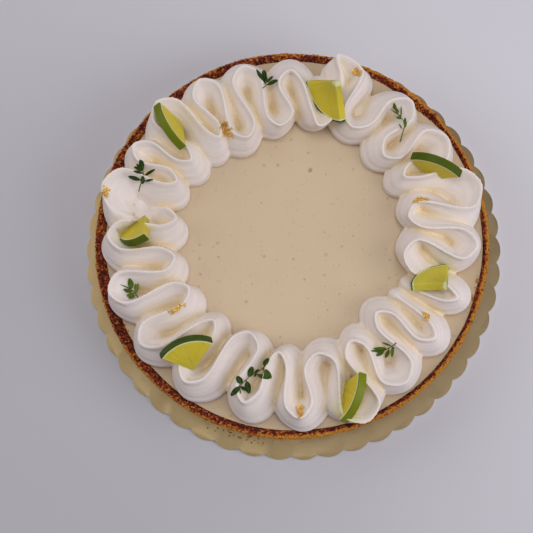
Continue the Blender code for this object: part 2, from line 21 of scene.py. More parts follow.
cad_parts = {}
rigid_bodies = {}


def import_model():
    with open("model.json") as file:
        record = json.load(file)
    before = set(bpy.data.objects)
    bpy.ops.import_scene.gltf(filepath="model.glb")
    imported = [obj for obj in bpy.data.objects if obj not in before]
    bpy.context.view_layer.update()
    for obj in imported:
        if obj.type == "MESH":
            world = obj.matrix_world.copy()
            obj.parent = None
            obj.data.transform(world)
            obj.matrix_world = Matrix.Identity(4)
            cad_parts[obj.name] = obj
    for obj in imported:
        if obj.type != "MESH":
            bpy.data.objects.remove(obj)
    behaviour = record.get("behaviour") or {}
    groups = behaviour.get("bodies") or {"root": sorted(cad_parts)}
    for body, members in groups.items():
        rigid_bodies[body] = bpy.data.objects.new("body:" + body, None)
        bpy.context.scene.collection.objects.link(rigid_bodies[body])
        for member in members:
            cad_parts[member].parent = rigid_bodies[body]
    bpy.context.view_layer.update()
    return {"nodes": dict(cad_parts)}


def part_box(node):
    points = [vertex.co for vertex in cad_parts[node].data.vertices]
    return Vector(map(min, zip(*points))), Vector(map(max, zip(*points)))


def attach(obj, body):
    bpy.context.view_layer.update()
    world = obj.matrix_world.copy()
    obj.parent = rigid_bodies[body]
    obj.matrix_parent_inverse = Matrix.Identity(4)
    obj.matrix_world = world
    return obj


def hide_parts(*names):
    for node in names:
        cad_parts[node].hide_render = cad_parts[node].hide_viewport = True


bl_info = {
    "name": "Key lime pie",
    "version": (1, 0, 0),
    "blender": (4, 5, 0),
    "location": "3D View > Sidebar > Pie",
    "description": "Builds a decorated key lime pie on its card, piece by piece",
    "category": "Add Mesh",
}

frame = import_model()
CARD_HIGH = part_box("cake_card")[1]
CRUST_LOW, CRUST_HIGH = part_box("crust")

MM = 0.001
ROOT = "root"

# Each stroke of the piping bag as its turns, in order: crest degrees, crest radius, half width of the
# turn (0 for a single point on the way), then degrees and radius of the turn's foot on the filling.
STROKES = (
    (
        (-24.5, 65.5, 0.0, -21.5, 67.0), (-22.5, 99.8, 4.2, -20.0, 98.6), (-11.5, 64.5, 9.6, -4.5, 69.0),
        (-4.3, 105.0, 8.4, -2.3, 98.2), (7.5, 67.0, 7.4, 12.5, 70.7), (14.3, 111.5, 11.6, 12.0, 100.5),
        (27.0, 72.3, 4.7, 28.0, 69.7), (31.4, 105.3, 10.4, 33.5, 99.2), (39.8, 70.0, 7.3, 44.6, 69.7),
        (48.3, 104.5, 8.2, 52.0, 99.2), (60.3, 71.7, 8.9, 62.7, 73.7), (66.0, 103.5, 0.0, 67.3, 99.5),
        (70.5, 109.0, 0.0, 70.8, 100.8), (75.5, 109.5, 0.0, 74.2, 100.5), (72.5, 99.0, 0.0, 72.8, 95.5),
        (69.5, 84.0, 0.0, 72.0, 86.0),
    ),
    (
        (80.5, 99.0, 0.0, 81.5, 100.5), (77.0, 88.0, 0.0, 80.0, 90.0), (75.0, 64.8, 6.0, 81.0, 75.0),
        (90.0, 97.2, 7.0, 90.5, 100.5), (95.0, 63.7, 7.4, 99.5, 69.7), (105.6, 103.8, 8.1, 107.0, 101.0),
        (113.4, 62.0, 7.0, 116.3, 64.5), (120.2, 106.3, 8.1, 121.5, 101.5),
        (125.5, 70.5, 4.1, 130.8, 68.7), (134.8, 111.3, 9.4, 137.5, 101.0),
        (143.0, 72.4, 5.1, 143.8, 69.2), (150.0, 105.4, 6.5, 151.5, 100.5),
        (154.8, 72.6, 4.7, 159.0, 72.7), (164.8, 112.6, 11.7, 169.0, 101.0),
        (172.6, 85.0, 0.0, 175.0, 88.0),
    ),
    (
        (170.5, 82.0, 0.0, 173.0, 84.0), (172.0, 66.3, 5.4, 177.7, 68.7),
        (180.3, 104.7, 8.2, 183.3, 100.5), (191.3, 67.6, 6.8, 195.3, 70.5),
        (198.0, 108.5, 9.0, 200.5, 101.0), (208.0, 65.8, 6.8, 213.3, 68.9),
        (216.4, 105.3, 8.2, 218.5, 101.0), (228.7, 66.2, 5.4, 230.0, 67.5),
        (234.4, 102.7, 8.2, 237.0, 100.5), (247.4, 61.2, 8.0, 250.3, 66.0),
        (254.3, 98.9, 6.4, 257.0, 99.5), (263.5, 68.0, 5.2, 269.0, 70.3),
        (272.0, 104.0, 7.3, 273.6, 101.0), (281.6, 70.0, 8.7, 285.4, 68.0),
        (291.0, 113.8, 10.5, 290.8, 100.5), (297.5, 69.8, 6.4, 302.3, 68.2),
        (306.3, 105.3, 9.9, 307.5, 98.8), (315.6, 66.0, 6.0, 317.7, 63.8), (322.6, 99.2, 5.9, 324.0, 98.8),
        (329.7, 60.0, 0.0, 331.0, 65.0),
    ),
)
TURN_MIDDLE_RADIUS = 87.0
TURN_DEPTH = 7.5

# Height fraction and share of the half width, from the foot of the cream to its thin crest
CREAM_SECTION = (
    (0.0, 0.88), (0.1, 1.0), (0.24, 1.0), (0.34, 0.93), (0.41, 0.81), (0.48, 0.74), (0.56, 0.65),
    (0.64, 0.51), (0.7, 0.45), (0.78, 0.31), (0.84, 0.17), (0.89, 0.15), (0.95, 0.13), (1.0, 0.04),
)
CREAM_WIDENING_RADII = (86.0, 98.0)  # over these radii of its foot the ribbon widens toward the rim
CREAM_SINK = 0.8  # how far the cream reaches down into the filling
RIBBON_DETAIL = (28, 30)  # steps between two knots of a ribbon, and rows up its side
RIBBON_DETAIL_QUICK = (8, 12)
CREAM_BED_TOP = 37.2
CREAM_BED_RADII = (73.0, 93.5)
RAGGED_CRESTS = (14.0, 48.0, 134.0, 198.0, 213.0, 288.0, 355.0)  # degrees where the crest broke up
RAGGED_SPREAD = 7.0
CREAM_TRIANGLES = 190000  # the cream is thinned to this many
SHELTER_REACH = 14.0  # how far round it a point of the cream can be shut in
SHELTER_RAYS = 10
SHELTER_RAYS_QUICK = 4
PRESSED_REACH = 3.2  # how far round a pocket the cream is pressed smooth

# Lime quarters: x, y, z of the cut corner, heading of the steepest way up, slope, turn in its own plane,
# radius, tone of the rind from dark (0) to light (1), tone of the flesh from green (0) to yellow (1), and
# size of the white core at the corner
LIMES = (
    (-65.4, 67.8, 38.5, 207, 65, 8, 21.5, 0.65, 0.8, 0.5),
    (-83.3, 11.1, 42.8, 315, 50, -71, 20.3, 0.3, 0.5, 0.5),
    (-55.7, -76.1, 43.2, 111, 45, -5, 21.6, 0.0, 0.75, 0.5),
    (28.4, -86.9, 38.6, 347, 64, -19, 21.3, 0.9, 1.0, 0.5),
    (85.9, -32.1, 53.6, 282, 48, -153, 19.8, 0.25, 0.0, 2.0),
    (81.5, 34.9, 39.4, 68, 79, 1, 21.5, 0.15, 0.8, 0.5),
    (27.1, 85.6, 62.0, 32, 56, -172, 24.0, 0.0, 0.75, 2.5),
)
# These slices have no cream over them: number, and how much smaller than the slice its pocket is
LIME_POCKETS = ((2, 0.9), (3, 0.3), (5, -0.1), (7, 0.3))
POCKET_LIFT = 20.0  # how far a pocket reaches over its slice
LIME_REACH = 21.0  # radius that a slice is modelled at
LIME_MEMBRANES = (-0.60, 0.07, 0.71)  # turns of the membranes between the segments
# Painted light and shade: how far round each slice the cream is painted with green light through the lime and
# its shade, and how strongly
GREEN_LIGHT = ((2.5, 0.4), (3.0, 0.5), (2.5, 0.5), (4.2, 0.8), (3.2, 0.5), (2.5, 0.4), (2.5, 0.4))

# Thyme sprigs: tone from dark (0) to light (1), the stem's points, then each leaf as base x and y, tip x
# and y, and half width
SPRIGS = (
    (
        0.1,
        (
            (-16.3, 85.7), (-14.1, 87.5), (-15.0, 90.1), (-15.7, 92.6),
        ),
        (
            (-15.7, 90.8, -19.9, 97.6, 1.14), (-15.2, 92.4, -15.8, 98.2, 1.51),
            (-13.9, 90.7, -10.4, 94.4, 0.88), (-13.3, 88.0, -7.4, 90.3, 1.2),
            (-15.4, 90.3, -16.1, 93.7, 0.88), (-14.1, 90.9, -14.3, 94.4, 0.69),
        ),
    ),
    (
        0.0,
        (
            (-88.2, 26.0), (-86.6, 29.0), (-85.3, 32.2), (-85.1, 35.3), (-85.7, 38.1), (-86.4, 40.6),
        ),
        (
            (-87.2, 31.8, -93.5, 33.4, 1.2), (-84.1, 34.3, -78.4, 38.0, 0.88),
            (-83.9, 31.0, -79.1, 31.6, 0.57), (-85.2, 29.4, -85.5, 33.9, 1.26),
            (-85.5, 38.9, -86.9, 43.6, 1.45), (-85.7, 37.3, -90.6, 39.5, 1.07),
            (-85.6, 35.5, -90.6, 36.7, 0.82), (-85.8, 38.3, -89.1, 40.7, 0.82),
            (-85.4, 37.5, -85.4, 40.7, 0.63),
        ),
    ),
    (
        0.75,
        (
            (-86.9, -36.2), (-88.3, -34.1), (-90.6, -31.9), (-92.2, -30.3),
        ),
        (
            (-91.4, -30.3, -92.2, -25.2, 1.64), (-91.2, -32.3, -95.7, -31.3, 1.14),
            (-89.4, -34.2, -93.6, -35.1, 1.07), (-88.7, -35.4, -92.4, -36.8, 0.76),
            (-88.3, -33.6, -87.0, -28.3, 1.14), (-88.8, -32.7, -88.6, -28.3, 0.76),
            (-91.9, -30.6, -97.3, -28.7, 0.32),
        ),
    ),
    (
        0.15,
        (
            (-28.3, -90.4), (-28.9, -86.7), (-26.9, -84.3), (-24.4, -81.9), (-23.3, -80.5), (-20.1, -79.1),
            (-16.3, -76.2), (-14.2, -74.3),
        ),
        (
            (-15.6, -74.9, -12.9, -70.8, 1.51), (-15.4, -77.5, -11.6, -82.0, 1.64),
            (-18.9, -80.3, -12.4, -82.2, 1.26), (-23.7, -81.1, -21.9, -75.7, 1.64),
            (-20.8, -78.9, -18.3, -77.0, 0.63), (-20.1, -79.5, -20.7, -81.2, 0.57),
            (-27.8, -84.9, -30.5, -81.1, 1.7), (-29.2, -87.1, -33.7, -91.8, 1.51),
            (-25.0, -84.1, -23.7, -90.5, 1.7), (-28.3, -86.9, -24.4, -89.0, 0.95),
        ),
    ),
    (
        0.55,
        (
            (57.6, -63.1), (55.0, -65.0), (51.6, -66.4), (48.7, -66.7),
        ),
        (
            (52.3, -65.7, 45.1, -65.8, 0.88), (51.7, -66.6, 43.8, -67.2, 0.82),
            (51.0, -67.2, 46.8, -69.7, 1.07), (53.7, -66.8, 51.5, -71.1, 1.07),
            (55.4, -65.9, 54.9, -70.9, 0.95), (54.5, -64.6, 49.7, -62.8, 0.57),
            (55.5, -65.3, 56.4, -66.5, 0.44),
        ),
    ),
    (
        0.6,
        (
            (63.4, 55.1), (64.3, 58.2), (65.3, 62.1), (64.7, 65.2), (63.4, 68.1), (61.1, 72.9),
        ),
        (
            (61.1, 73.7, 59.9, 76.9, 1.01), (62.4, 71.6, 60.4, 74.8, 0.95), (63.2, 69.4, 57.9, 72.7, 0.32),
            (63.7, 68.6, 63.9, 74.5, 0.38), (62.6, 71.4, 59.0, 74.9, 0.32), (63.6, 66.7, 60.6, 67.2, 0.82),
            (65.3, 62.6, 65.6, 66.3, 0.76), (63.8, 60.1, 61.9, 63.2, 0.38), (65.3, 60.7, 66.4, 64.1, 0.63),
            (63.4, 67.3, 63.1, 68.8, 0.5),
        ),
    ),
)
LEAF_STALK = 0.16  # share of a leaf's mesh that is the stalk to the stem
LEAF_THICKNESS = 0.22
LEAF_CLEARANCE = 0.35  # over the cream
STEM_CLEARANCE = 0.9
SHARD_THICKNESS = 0.08
SHARD_CLEARANCE = 0.08

# Gold leaf: x, y, heading, length and half width of each cluster of flecks
GOLD_CLUSTERS = (
    (-37.7, 61.7, 112, 10.5, 2.0),
    (-107.0, 24.6, 70, 6.0, 2.2),
    (-64.0, -43.1, 215, 9.5, 1.3),
    (4.3, -100.6, 95, 6.5, 1.9),
    (74.7, -47.8, 300, 4.4, 1.8),
    (73.8, 18.8, 15, 8.5, 1.7),
    (38.8, 95.6, 145, 5.0, 1.6),
)

FILLING_TOP = 31.0
# Bubbles that broke on the filling: x, y and radius
PITS = (
    (11.0, 42.0, 1.6), (7.2, -23.8, 0.8), (-43.0, -10.3, 0.9), (-46.0, -4.0, 0.7), (35.7, 1.9, 0.7),
    (-23.4, -26.4, 0.7),
)
SMALL_PITS = 110
SMALL_PIT_RADII = (0.22, 0.28, 0.35, 0.5)
PITS_REACH = 62.0  # radius of the round that the small pits are drawn in
PIT_GAP = 0.6
PIT_BALL = 1.25  # radius of the ball that leaves a pit, against the pit's own

THIN_RIM = 0.75  # the rim is this much thinner at THIN_RIM_DEGREES, and thicker across
THIN_RIM_DEGREES = 340.0
CRUST_STEPS = 1150  # round the pie
# Crumbly thick stretches of the rim: degrees of the middle, degrees of spread, depth inward
CRUST_CHUNKS = (
    (48.0, 8.0, 2.0), (199.0, 8.0, 1.5), (343.0, 5.0, 0.9),
)


# --- Properties ---


def length(name, description, millimetres):
    size = millimetres * MM
    return FloatProperty(name=name, description=description, default=size, min=0.0, unit="LENGTH")


def colour(name, description, value):
    return FloatVectorProperty(
        name=name, description=description, default=value, size=3, min=0.0, max=1.0, subtype="COLOR"
    )


class PieSizes(bpy.types.PropertyGroup):
    card_radius: length("Card radius", "Radius of the card to the scallops' tips", CARD_HIGH.x / MM)
    card_valley_radius: length("Card valley radius", "Radius of the card between two scallops", 124.5)
    card_thickness: length("Card thickness", "Thickness of the card", CARD_HIGH.z / MM)
    card_scallops: IntProperty(name="Scallops", description="Scallops round the card", default=50, min=8)
    rim_radius: length("Rim radius", "Outer radius of the crust's rim", 114.9)
    rim_height: length("Rim height", "Height of the crust's rim over the table", CRUST_HIGH.z / MM)
    inner_radius: length("Crust inner radius", "Radius of the crust's inner face", 110.4)
    foot_radius: length("Crust foot radius", "Radius of the crust where it stands on the card", 111.6)
    crumb_depth: length("Crumb relief", "How far the crumbs stand out of the crust", 0.9)
    filling_top: length("Filling height", "Height of the filling over the table", FILLING_TOP)
    cream_crest: length("Cream crest height", "Height of the cream's crests over the table", 50.6)
    cream_half_width: length("Cream half width", "Half the width of the piped ribbon at its foot", 8.2)
    cream_widening: length("Cream widening", "How much the ribbon's foot widens toward the rim", 1.8)
    cream_cell: length("Cream detail", "Size of the cells that the cream is fused from", 0.5)
    lime_size: FloatProperty(
        name="Lime size", description="Size of the lime slices against the pie", default=1.0, min=0.5,
        max=1.5, subtype="FACTOR"
    )
    lime_thickness: length("Lime thickness", "Thickness of the lime slices", 4.8)
    lime_cell: length("Lime detail", "Size of the cells that a lime slice is made of", 0.35)
    stem_radius: length("Stem radius", "Radius of the thyme's stems", 0.35)


class PieColours(bpy.types.PropertyGroup):
    card_gold: colour("Card gold", "Gold foil of the card", (0.345, 0.25, 0.112))
    card_edge: colour("Card edge", "Paper at the card's cut edge", (0.70, 0.63, 0.50))
    crust_golden: colour("Golden crumb", "Crumbs on top of the rim", (0.52, 0.215, 0.024))
    crust_brown: colour("Brown crumb", "Crumbs in the middle of their tone", (0.26, 0.031, 0.010))
    # The dark and brown crumbs also stand for painted shade on the inner side of the rim
    crust_dark: colour("Dark crumb", "Deeply baked crumbs", (0.055, 0.007, 0.005))
    filling: colour("Filling", "Surface of the set filling", (0.60, 0.465, 0.305))
    # Painted shade in the hollows of the pits
    filling_pit_shade: colour("Filling pits", "Hollows left by bubbles", (0.38, 0.26, 0.13))
    cream: colour("Cream", "Cream in the open", (0.815, 0.735, 0.695))
    # Painted shade: cream in the folds and creases is painted warmer and darker
    cream_fold_shade: colour("Cream folds", "Cream deep in the folds", (0.79, 0.655, 0.44))
    cream_crease_shade: colour("Cream creases", "Thin lines where two turns of cream meet", (0.56, 0.36, 0.15))
    # Painted light and shade: green light through the lime slices, and their shade, on the cream
    cream_green_light: colour("Soaked cream", "Cream with lime juice in it", (0.66, 0.63, 0.16))
    lime_flesh: colour("Lime flesh", "Juicy part of a slice", (0.66, 0.515, 0.016))
    lime_pale: colour("Lime membranes", "Pale streaks in the flesh", (0.64, 0.55, 0.13))
    lime_pith: colour("Lime pith", "Pith under the rind", (0.68, 0.69, 0.42))
    rind_dark: colour("Dark rind", "Dark green rind", (0.024, 0.055, 0.002))
    rind_light: colour("Light rind", "Light green rind", (0.20, 0.235, 0.006))
    thyme_dark: colour("Dark thyme", "Upper side of dark leaves", (0.012, 0.036, 0.005))
    thyme_light: colour("Light thyme", "Upper side of light leaves", (0.12, 0.19, 0.018))
    thyme_stem: colour("Thyme stem", "Woody stem", (0.085, 0.065, 0.025))
    gold: colour("Gold leaf", "Edible gold leaf", (0.95, 0.58, 0.12))
    table: colour("Table", "The pale table", (0.56, 0.55, 0.59))


# --- Modelling helpers ---


def activate(*pieces):
    """Selects these pieces alone, and makes the last of them active."""
    bpy.ops.object.select_all(action="DESELECT")
    for piece in pieces:
        piece.select_set(True)
        bpy.context.view_layer.objects.active = piece


def new_piece(name, operator, *selected, **settings):
    """The piece that an operator makes with only these pieces selected, under its name."""
    activate(*selected)
    operator(**settings)
    piece = bpy.context.object
    piece.name = name
    piece.data.name = name
    return piece


def copied(name, piece):
    return new_piece(name, bpy.ops.object.duplicate, piece)


def joined(name, pieces):
    return new_piece(name, bpy.ops.object.join, *pieces)


@contextmanager
def editing(piece, select_all=True):
    """The piece in edit mode, with all of it selected or with its selection as it was."""
    activate(piece)
    bpy.ops.object.mode_set(mode="EDIT")
    if select_all:
        bpy.ops.mesh.select_all(action="SELECT")
    yield
    bpy.ops.object.mode_set(mode="OBJECT")


def apply_modifier(piece, kind, **settings):
    activate(piece)
    modifier = piece.modifiers.new(kind.lower(), kind)
    for key, value in settings.items():
        setattr(modifier, key, value)
    bpy.ops.object.modifier_apply(modifier=modifier.name)


def boolean(piece, others, operation, solver="EXACT"):
    """Joins the others to the piece or cuts them from it, and removes them."""
    group = bpy.data.collections.new(piece.name + "_tools")
    for other in others:
        group.objects.link(other)
    apply_modifier(
        piece, "BOOLEAN", operand_type="COLLECTION", collection=group, operation=operation, solver=solver
    )
    for other in list(group.objects):
        bpy.data.objects.remove(other, do_unlink=True)
    bpy.data.collections.remove(group)
    if not piece.data.polygons:
        raise RuntimeError(f"nothing is left of {piece.name}")


def put_in_mesh(piece):
    activate(piece)
    bpy.ops.object.transform_apply(location=True, rotation=True, scale=True)


def clean_mesh(piece, merge=0.00001):
    """Merges doubles and turns the faces outward."""
    with editing(piece):
        bpy.ops.mesh.remove_doubles(threshold=merge)
        bpy.ops.mesh.normals_make_consistent(inside=False)


def object_from(name, points, faces):
    """An object from points in millimetres, for forms that the editing tools can't give."""
    mesh = bpy.data.meshes.new(name)
    mesh.from_pydata([Vector(point) * MM for point in points], [], faces)
    shell = bmesh.new()
    shell.from_mesh(mesh)
    bmesh.ops.recalc_face_normals(shell, faces=shell.faces)
    shell.to_mesh(mesh)
    shell.free()
    piece = bpy.data.objects.new(name, mesh)
    bpy.context.scene.collection.objects.link(piece)
    return piece


def rings_to_faces(rings, around, closed=False):
    """Quads from each ring of points to the next, and then back to the first ring, or a cap on each end."""
    faces = []
    for ring in range(rings if closed else rings - 1):
        low, high = ring * around, (ring + 1) % rings * around
        for step in range(around):
            following = (step + 1) % around
            faces.append((low + step, low + following, high + following, high + step))
    if not closed:
        faces.append(tuple(reversed(range(around))))
        faces.append(tuple(range((rings - 1) * around, rings * around)))
    return faces


def moved_on(faces, start):
    """The faces as they are when their points come after this many others."""
    return [tuple(start + corner for corner in face) for face in faces]


def finish_piece(piece, material, nodes, smooth_degrees=40.0):
    put_in_mesh(piece)
    piece.data.materials.clear()
    piece.data.materials.append(material)
    bpy.ops.object.shade_smooth_by_angle(angle=math.radians(smooth_degrees))
    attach(piece, ROOT)
    if nodes:
        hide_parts(*nodes)


def polar(degrees, radius, height=0.0):
    turn = math.radians(degrees)
    return Vector((radius * math.cos(turn), radius * math.sin(turn), height))


def turned_from(middle, degrees):
    """How far the degrees are turned from the middle, between -180 and 180."""
    return (degrees - middle + 180.0) % 360.0 - 180.0


def pose_of(axes, place):
    """The matrix with these axes at this place, in metres."""
    pose = Matrix(axes).transposed().to_4x4()
    pose.translation = place
    return pose


def read(piece, key):
    values = np.empty(len(piece.data.vertices) * 3)
    piece.data.vertices.foreach_get(key, values)
    return values.reshape(-1, 3)


def points_of(piece):
    """The piece's points, in millimetres."""
    return read(piece, "co") / MM


def move_points(piece, points):
    piece.data.vertices.foreach_set("co", (points * MM).ravel())
    piece.data.update()


def store(piece, name, values, kind="FLOAT"):
    """Keeps one value for each point of the piece, for its material."""
    layer = piece.data.attributes.new(name, kind, "POINT")
    key = "value" if kind == "FLOAT" else "vector"
    layer.data.foreach_set(key, np.ascontiguousarray(values, float).ravel())


def wavering(degrees, seed):
    """A smooth waver round the pie, between about -1 and 1."""
    turn = np.radians(degrees)
    return (
        0.5 * np.sin(7 * turn + seed)
        + 0.3 * np.sin(13 * turn + 2.1 * seed)
        + 0.2 * np.sin(29 * turn + 3.7 * seed)
    )


# --- Material helpers ---


class Wire:
    """One output of a node; sums, differences and products of wires are Math nodes."""

    def __init__(self, nodes, socket):
        self.nodes = nodes
        self.socket = socket

    def __add__(self, other):
        return self.nodes.math("ADD", self, other)

    def __sub__(self, other):
        return self.nodes.math("SUBTRACT", self, other)

    def __rsub__(self, other):
        return self.nodes.math("SUBTRACT", other, self)

    def __mul__(self, other):
        return self.nodes.math("MULTIPLY", self, other)

    def __abs__(self):
        return self.nodes.math("ABSOLUTE", self)


class Nodes:
    """Adds nodes to one tree and links them, so that a material reads as a list of steps."""

    def __init__(self, tree):
        self.tree = tree

    def feed(self, socket, value):
        if isinstance(value, Wire):
            self.tree.links.new(value.socket, socket)
        elif value is not None:
            socket.default_value = value

    def add(self, kind, outputs, settings=None, **inputs):
        """A new node, as the wire of its one named output or a list of wires."""
        made = self.tree.nodes.new(kind)
        for key, value in (settings or {}).items():
            setattr(made, key, value)
        for key, value in inputs.items():
            self.feed(made.inputs[key.replace("_", " ")], value)
        if isinstance(outputs, str):
            return Wire(self, made.outputs[outputs])
        return [Wire(self, made.outputs[name]) for name in outputs]

    def math(self, operation, first, second=None, clamp=False):
        made = self.tree.nodes.new("ShaderNodeMath")
        made.operation = operation
        made.use_clamp = clamp
        self.feed(made.inputs[0], first)
        self.feed(made.inputs[1], second)
        return Wire(self, made.outputs[0])

    def most(self, first, second):
        return self.math("MAXIMUM", first, second)

    def mix(self, factor, first, second):
        made = self.tree.nodes.new("ShaderNodeMix")
        made.data_type = "RGBA"
        self.feed(made.inputs["Factor"], factor)
        for socket, value in zip(made.inputs[6:8], (first, second)):
            self.feed(socket, value if isinstance(value, Wire) else (*value[:3], 1.0))
        return Wire(self, made.outputs[2])

    def between(self, value, low, high, to_low=0.0, to_high=1.0, smooth=True):
        """The value's place between low and high, as a number from to_low to to_high."""
        made = self.tree.nodes.new("ShaderNodeMapRange")
        made.interpolation_type = "SMOOTHSTEP" if smooth else "LINEAR"
        for socket, number in zip(made.inputs[:5], (value, low, high, to_low, to_high)):
            self.feed(socket, number)
        return Wire(self, made.outputs[0])

    def value(self, name):
        """The number that store() kept under this name."""
        return self.add("ShaderNodeAttribute", "Fac", {"attribute_name": name})

    def axes(self, vector):
        return self.add("ShaderNodeSeparateXYZ", ("X", "Y", "Z"), Vector=vector)

    def vector(self, x, y, z=None):
        return self.add("ShaderNodeCombineXYZ", "Vector", X=x, Y=y, Z=z)

    def length(self, x, y):
        return self.add("ShaderNodeVectorMath", "Value", {"operation": "LENGTH"}, Vector=self.vector(x, y))

    def scale(self, colour, factor):
        return self.add("ShaderNodeVectorMath", "Vector", {"operation": "SCALE"}, Vector=colour, Scale=factor)

    def noise(self, vector, scale, detail, roughness):
        """Noise at the places that the vector gives."""
        return self.add(
            "ShaderNodeTexNoise", "Fac", Vector=vector, Scale=scale, Detail=detail, Roughness=roughness
        )


def new_group(name, output, inputs):
    """An empty group's nodes and its inputs, given as name to default value, or to None for a vector."""
    tree = bpy.data.node_groups.new(name, "ShaderNodeTree")
    for label, default in inputs.items():
        kind = "NodeSocketVector" if default is None else "NodeSocketFloat"
        socket = tree.interface.new_socket(label, in_out="INPUT", socket_type=kind)
        if default is not None:
            socket.default_value = default
    tree.interface.new_socket(output, in_out="OUTPUT", socket_type="NodeSocketFloat")
    nodes = Nodes(tree)
    return nodes, nodes.add("NodeGroupInput", list(inputs))


def close_group(nodes, value):
    nodes.feed(nodes.tree.nodes.new("NodeGroupOutput").inputs[0], value)
    return nodes.tree


def mottle_group():
    """Soft uneven tone: two sizes of noise, drawn apart by the contrast."""
    name = "mottle"
    if name in bpy.data.node_groups:
        return bpy.data.node_groups[name]
    nodes, (place, scale, contrast) = new_group(
        name, "Tone", {"Place": None, "Scale": 100.0, "Contrast": 1.0}
    )
    coarse = nodes.noise(place, scale, 4.0, 0.6)
    fine = nodes.noise(place, scale * 3.7, 3.0, 0.55)
    apart = (coarse * 0.65 + fine * 0.35 - 0.5) * contrast
    return close_group(nodes, nodes.math("ADD", apart, 0.5, clamp=True))


def speck_group(flat):
    """Round specks of uneven size, as pores or bubbles: 1 in the middle of a speck and 0 outside."""
    name = "flat_specks" if flat else "specks"
    if name in bpy.data.node_groups:
        return bpy.data.node_groups[name]
    nodes, (place, scale, size, share) = new_group(
        name, "Speck", {"Place": None, "Scale": 400.0, "Size": 0.3, "Share": 0.5}
    )
    distance, cell = nodes.add(
        "ShaderNodeTexVoronoi", ("Distance", "Color"), {"voronoi_dimensions": "2D" if flat else "3D"},
        Vector=place, Scale=scale,
    )
    kept, grown = nodes.add("ShaderNodeSeparateColor", ("Red", "Green"), Color=cell)
    kept = nodes.math("LESS_THAN", kept, share)
    return close_group(nodes, nodes.between(distance, 0.0, size * (grown + 0.35), 1.0, 0.0) * kept)


class Finish(Nodes):
    """The nodes of one material, whose constants are set on its Principled shader's own sockets."""

    def __init__(self, name, **constants):
        self.material = bpy.data.materials.new(name)
        self.material.use_nodes = True
        super().__init__(self.material.node_tree)
        self.shader = self.tree.nodes["Principled BSDF"]
        for key, value in constants.items():
            self.shader.inputs[key.replace("_", " ")].default_value = value
        self.place = self.add("ShaderNodeTexCoord", "Object")

    def group(self, tree, **inputs):
        made = self.tree.nodes.new("ShaderNodeGroup")
        made.node_tree = tree
        for key, value in inputs.items():
            self.feed(made.inputs[key], value)
        return Wire(self, made.outputs[0])

    def mottle(self, scale, contrast):
        return self.group(mottle_group(), Place=self.place, Scale=scale, Contrast=contrast)

    def specks(self, scale, size, share, flat=False):
        return self.group(speck_group(flat), Place=self.place, Scale=scale, Size=size, Share=share)

    def done(self, surface, roughness, relief=None, relief_mm=0.0, strength=1.0):
        """Feeds the shader and gives the finished material."""
        self.feed(self.shader.inputs["Base Color"], surface)
        self.feed(self.shader.inputs["Roughness"], roughness)
        if relief is not None:
            self.feed(self.shader.inputs["Normal"], self.add(
                "ShaderNodeBump", "Normal", Height=relief, Distance=relief_mm * MM, Strength=strength
            ))
        return self.material


def scaled(colour, *factors):
    """The colour times one factor, or times one factor for each of its channels."""
    factors = factors * 3 if len(factors) == 1 else factors
    return [min(1.0, channel * factor) for channel, factor in zip(colour, factors)]


# --- Materials ---


def gold_card_material(colours):
    foil = Finish("gold_card", Metallic=0.3)
    brushed = foil.add(
        "ShaderNodeMapping", "Vector", Vector=foil.place, Scale=(1.0, 7.0, 1.0), Rotation=(0.0, 0.0, 0.35)
    )
    scratch = foil.between(foil.noise(brushed, 420.0, 6.0, 0.7), 0.45, 0.7)
    tone = foil.mottle(55.0, 1.6)
    gold = foil.mix(tone, scaled(colours.card_gold, 0.86), scaled(colours.card_gold, 1.14))
    gold = foil.mix(scratch * 0.15, gold, (0.52, 0.42, 0.25))
    # Painted reflection: the foil is painted paler to the left and darker to the right, as its sheen mirrors
    # the room
    x, _, _ = foil.axes(foil.place)
    gold = foil.scale(gold, foil.between(x, -0.125, 0.125, 1.5, 0.66, smooth=False))
    _, _, facing_up = foil.axes(foil.add("ShaderNodeNewGeometry", "Normal"))
    gold = foil.mix(foil.math("LESS_THAN", abs(facing_up), 0.9), gold, colours.card_edge)
    return foil.done(gold, foil.between(tone, 0.2, 0.8, 0.36, 0.5), scratch, 0.03, 0.5)


def crumb_material(colours):
    crumb = Finish("biscuit_crumb", Specular_IOR_Level=0.25)
    distance, cell = crumb.add("ShaderNodeTexVoronoi", ("Distance", "Color"), Vector=crumb.place, Scale=950.0)
    chance = crumb.add("ShaderNodeSeparateColor", "Red", Color=cell)
    tone = crumb.mottle(380.0, 3.0)
    broad = crumb.mottle(32.0, 2.2)
    # Painted shade with the crumbs' own bake: the stored mark darkens the crumbs inward and on the left
    shade = tone * 0.4 + chance * 0.6 + 0.22 - crumb.value("baked") * 0.48 + (broad - 0.5) * 0.3
    lit = crumb.mix(crumb.between(shade, 0.1, 0.34), colours.crust_dark, colours.crust_brown)
    lit = crumb.mix(crumb.between(shade, 0.38, 0.6), lit, colours.crust_golden)
    return crumb.done(lit, crumb.between(tone, 0.0, 1.0, 0.7, 0.95), distance * 4.0 + tone, 0.35, 0.7)


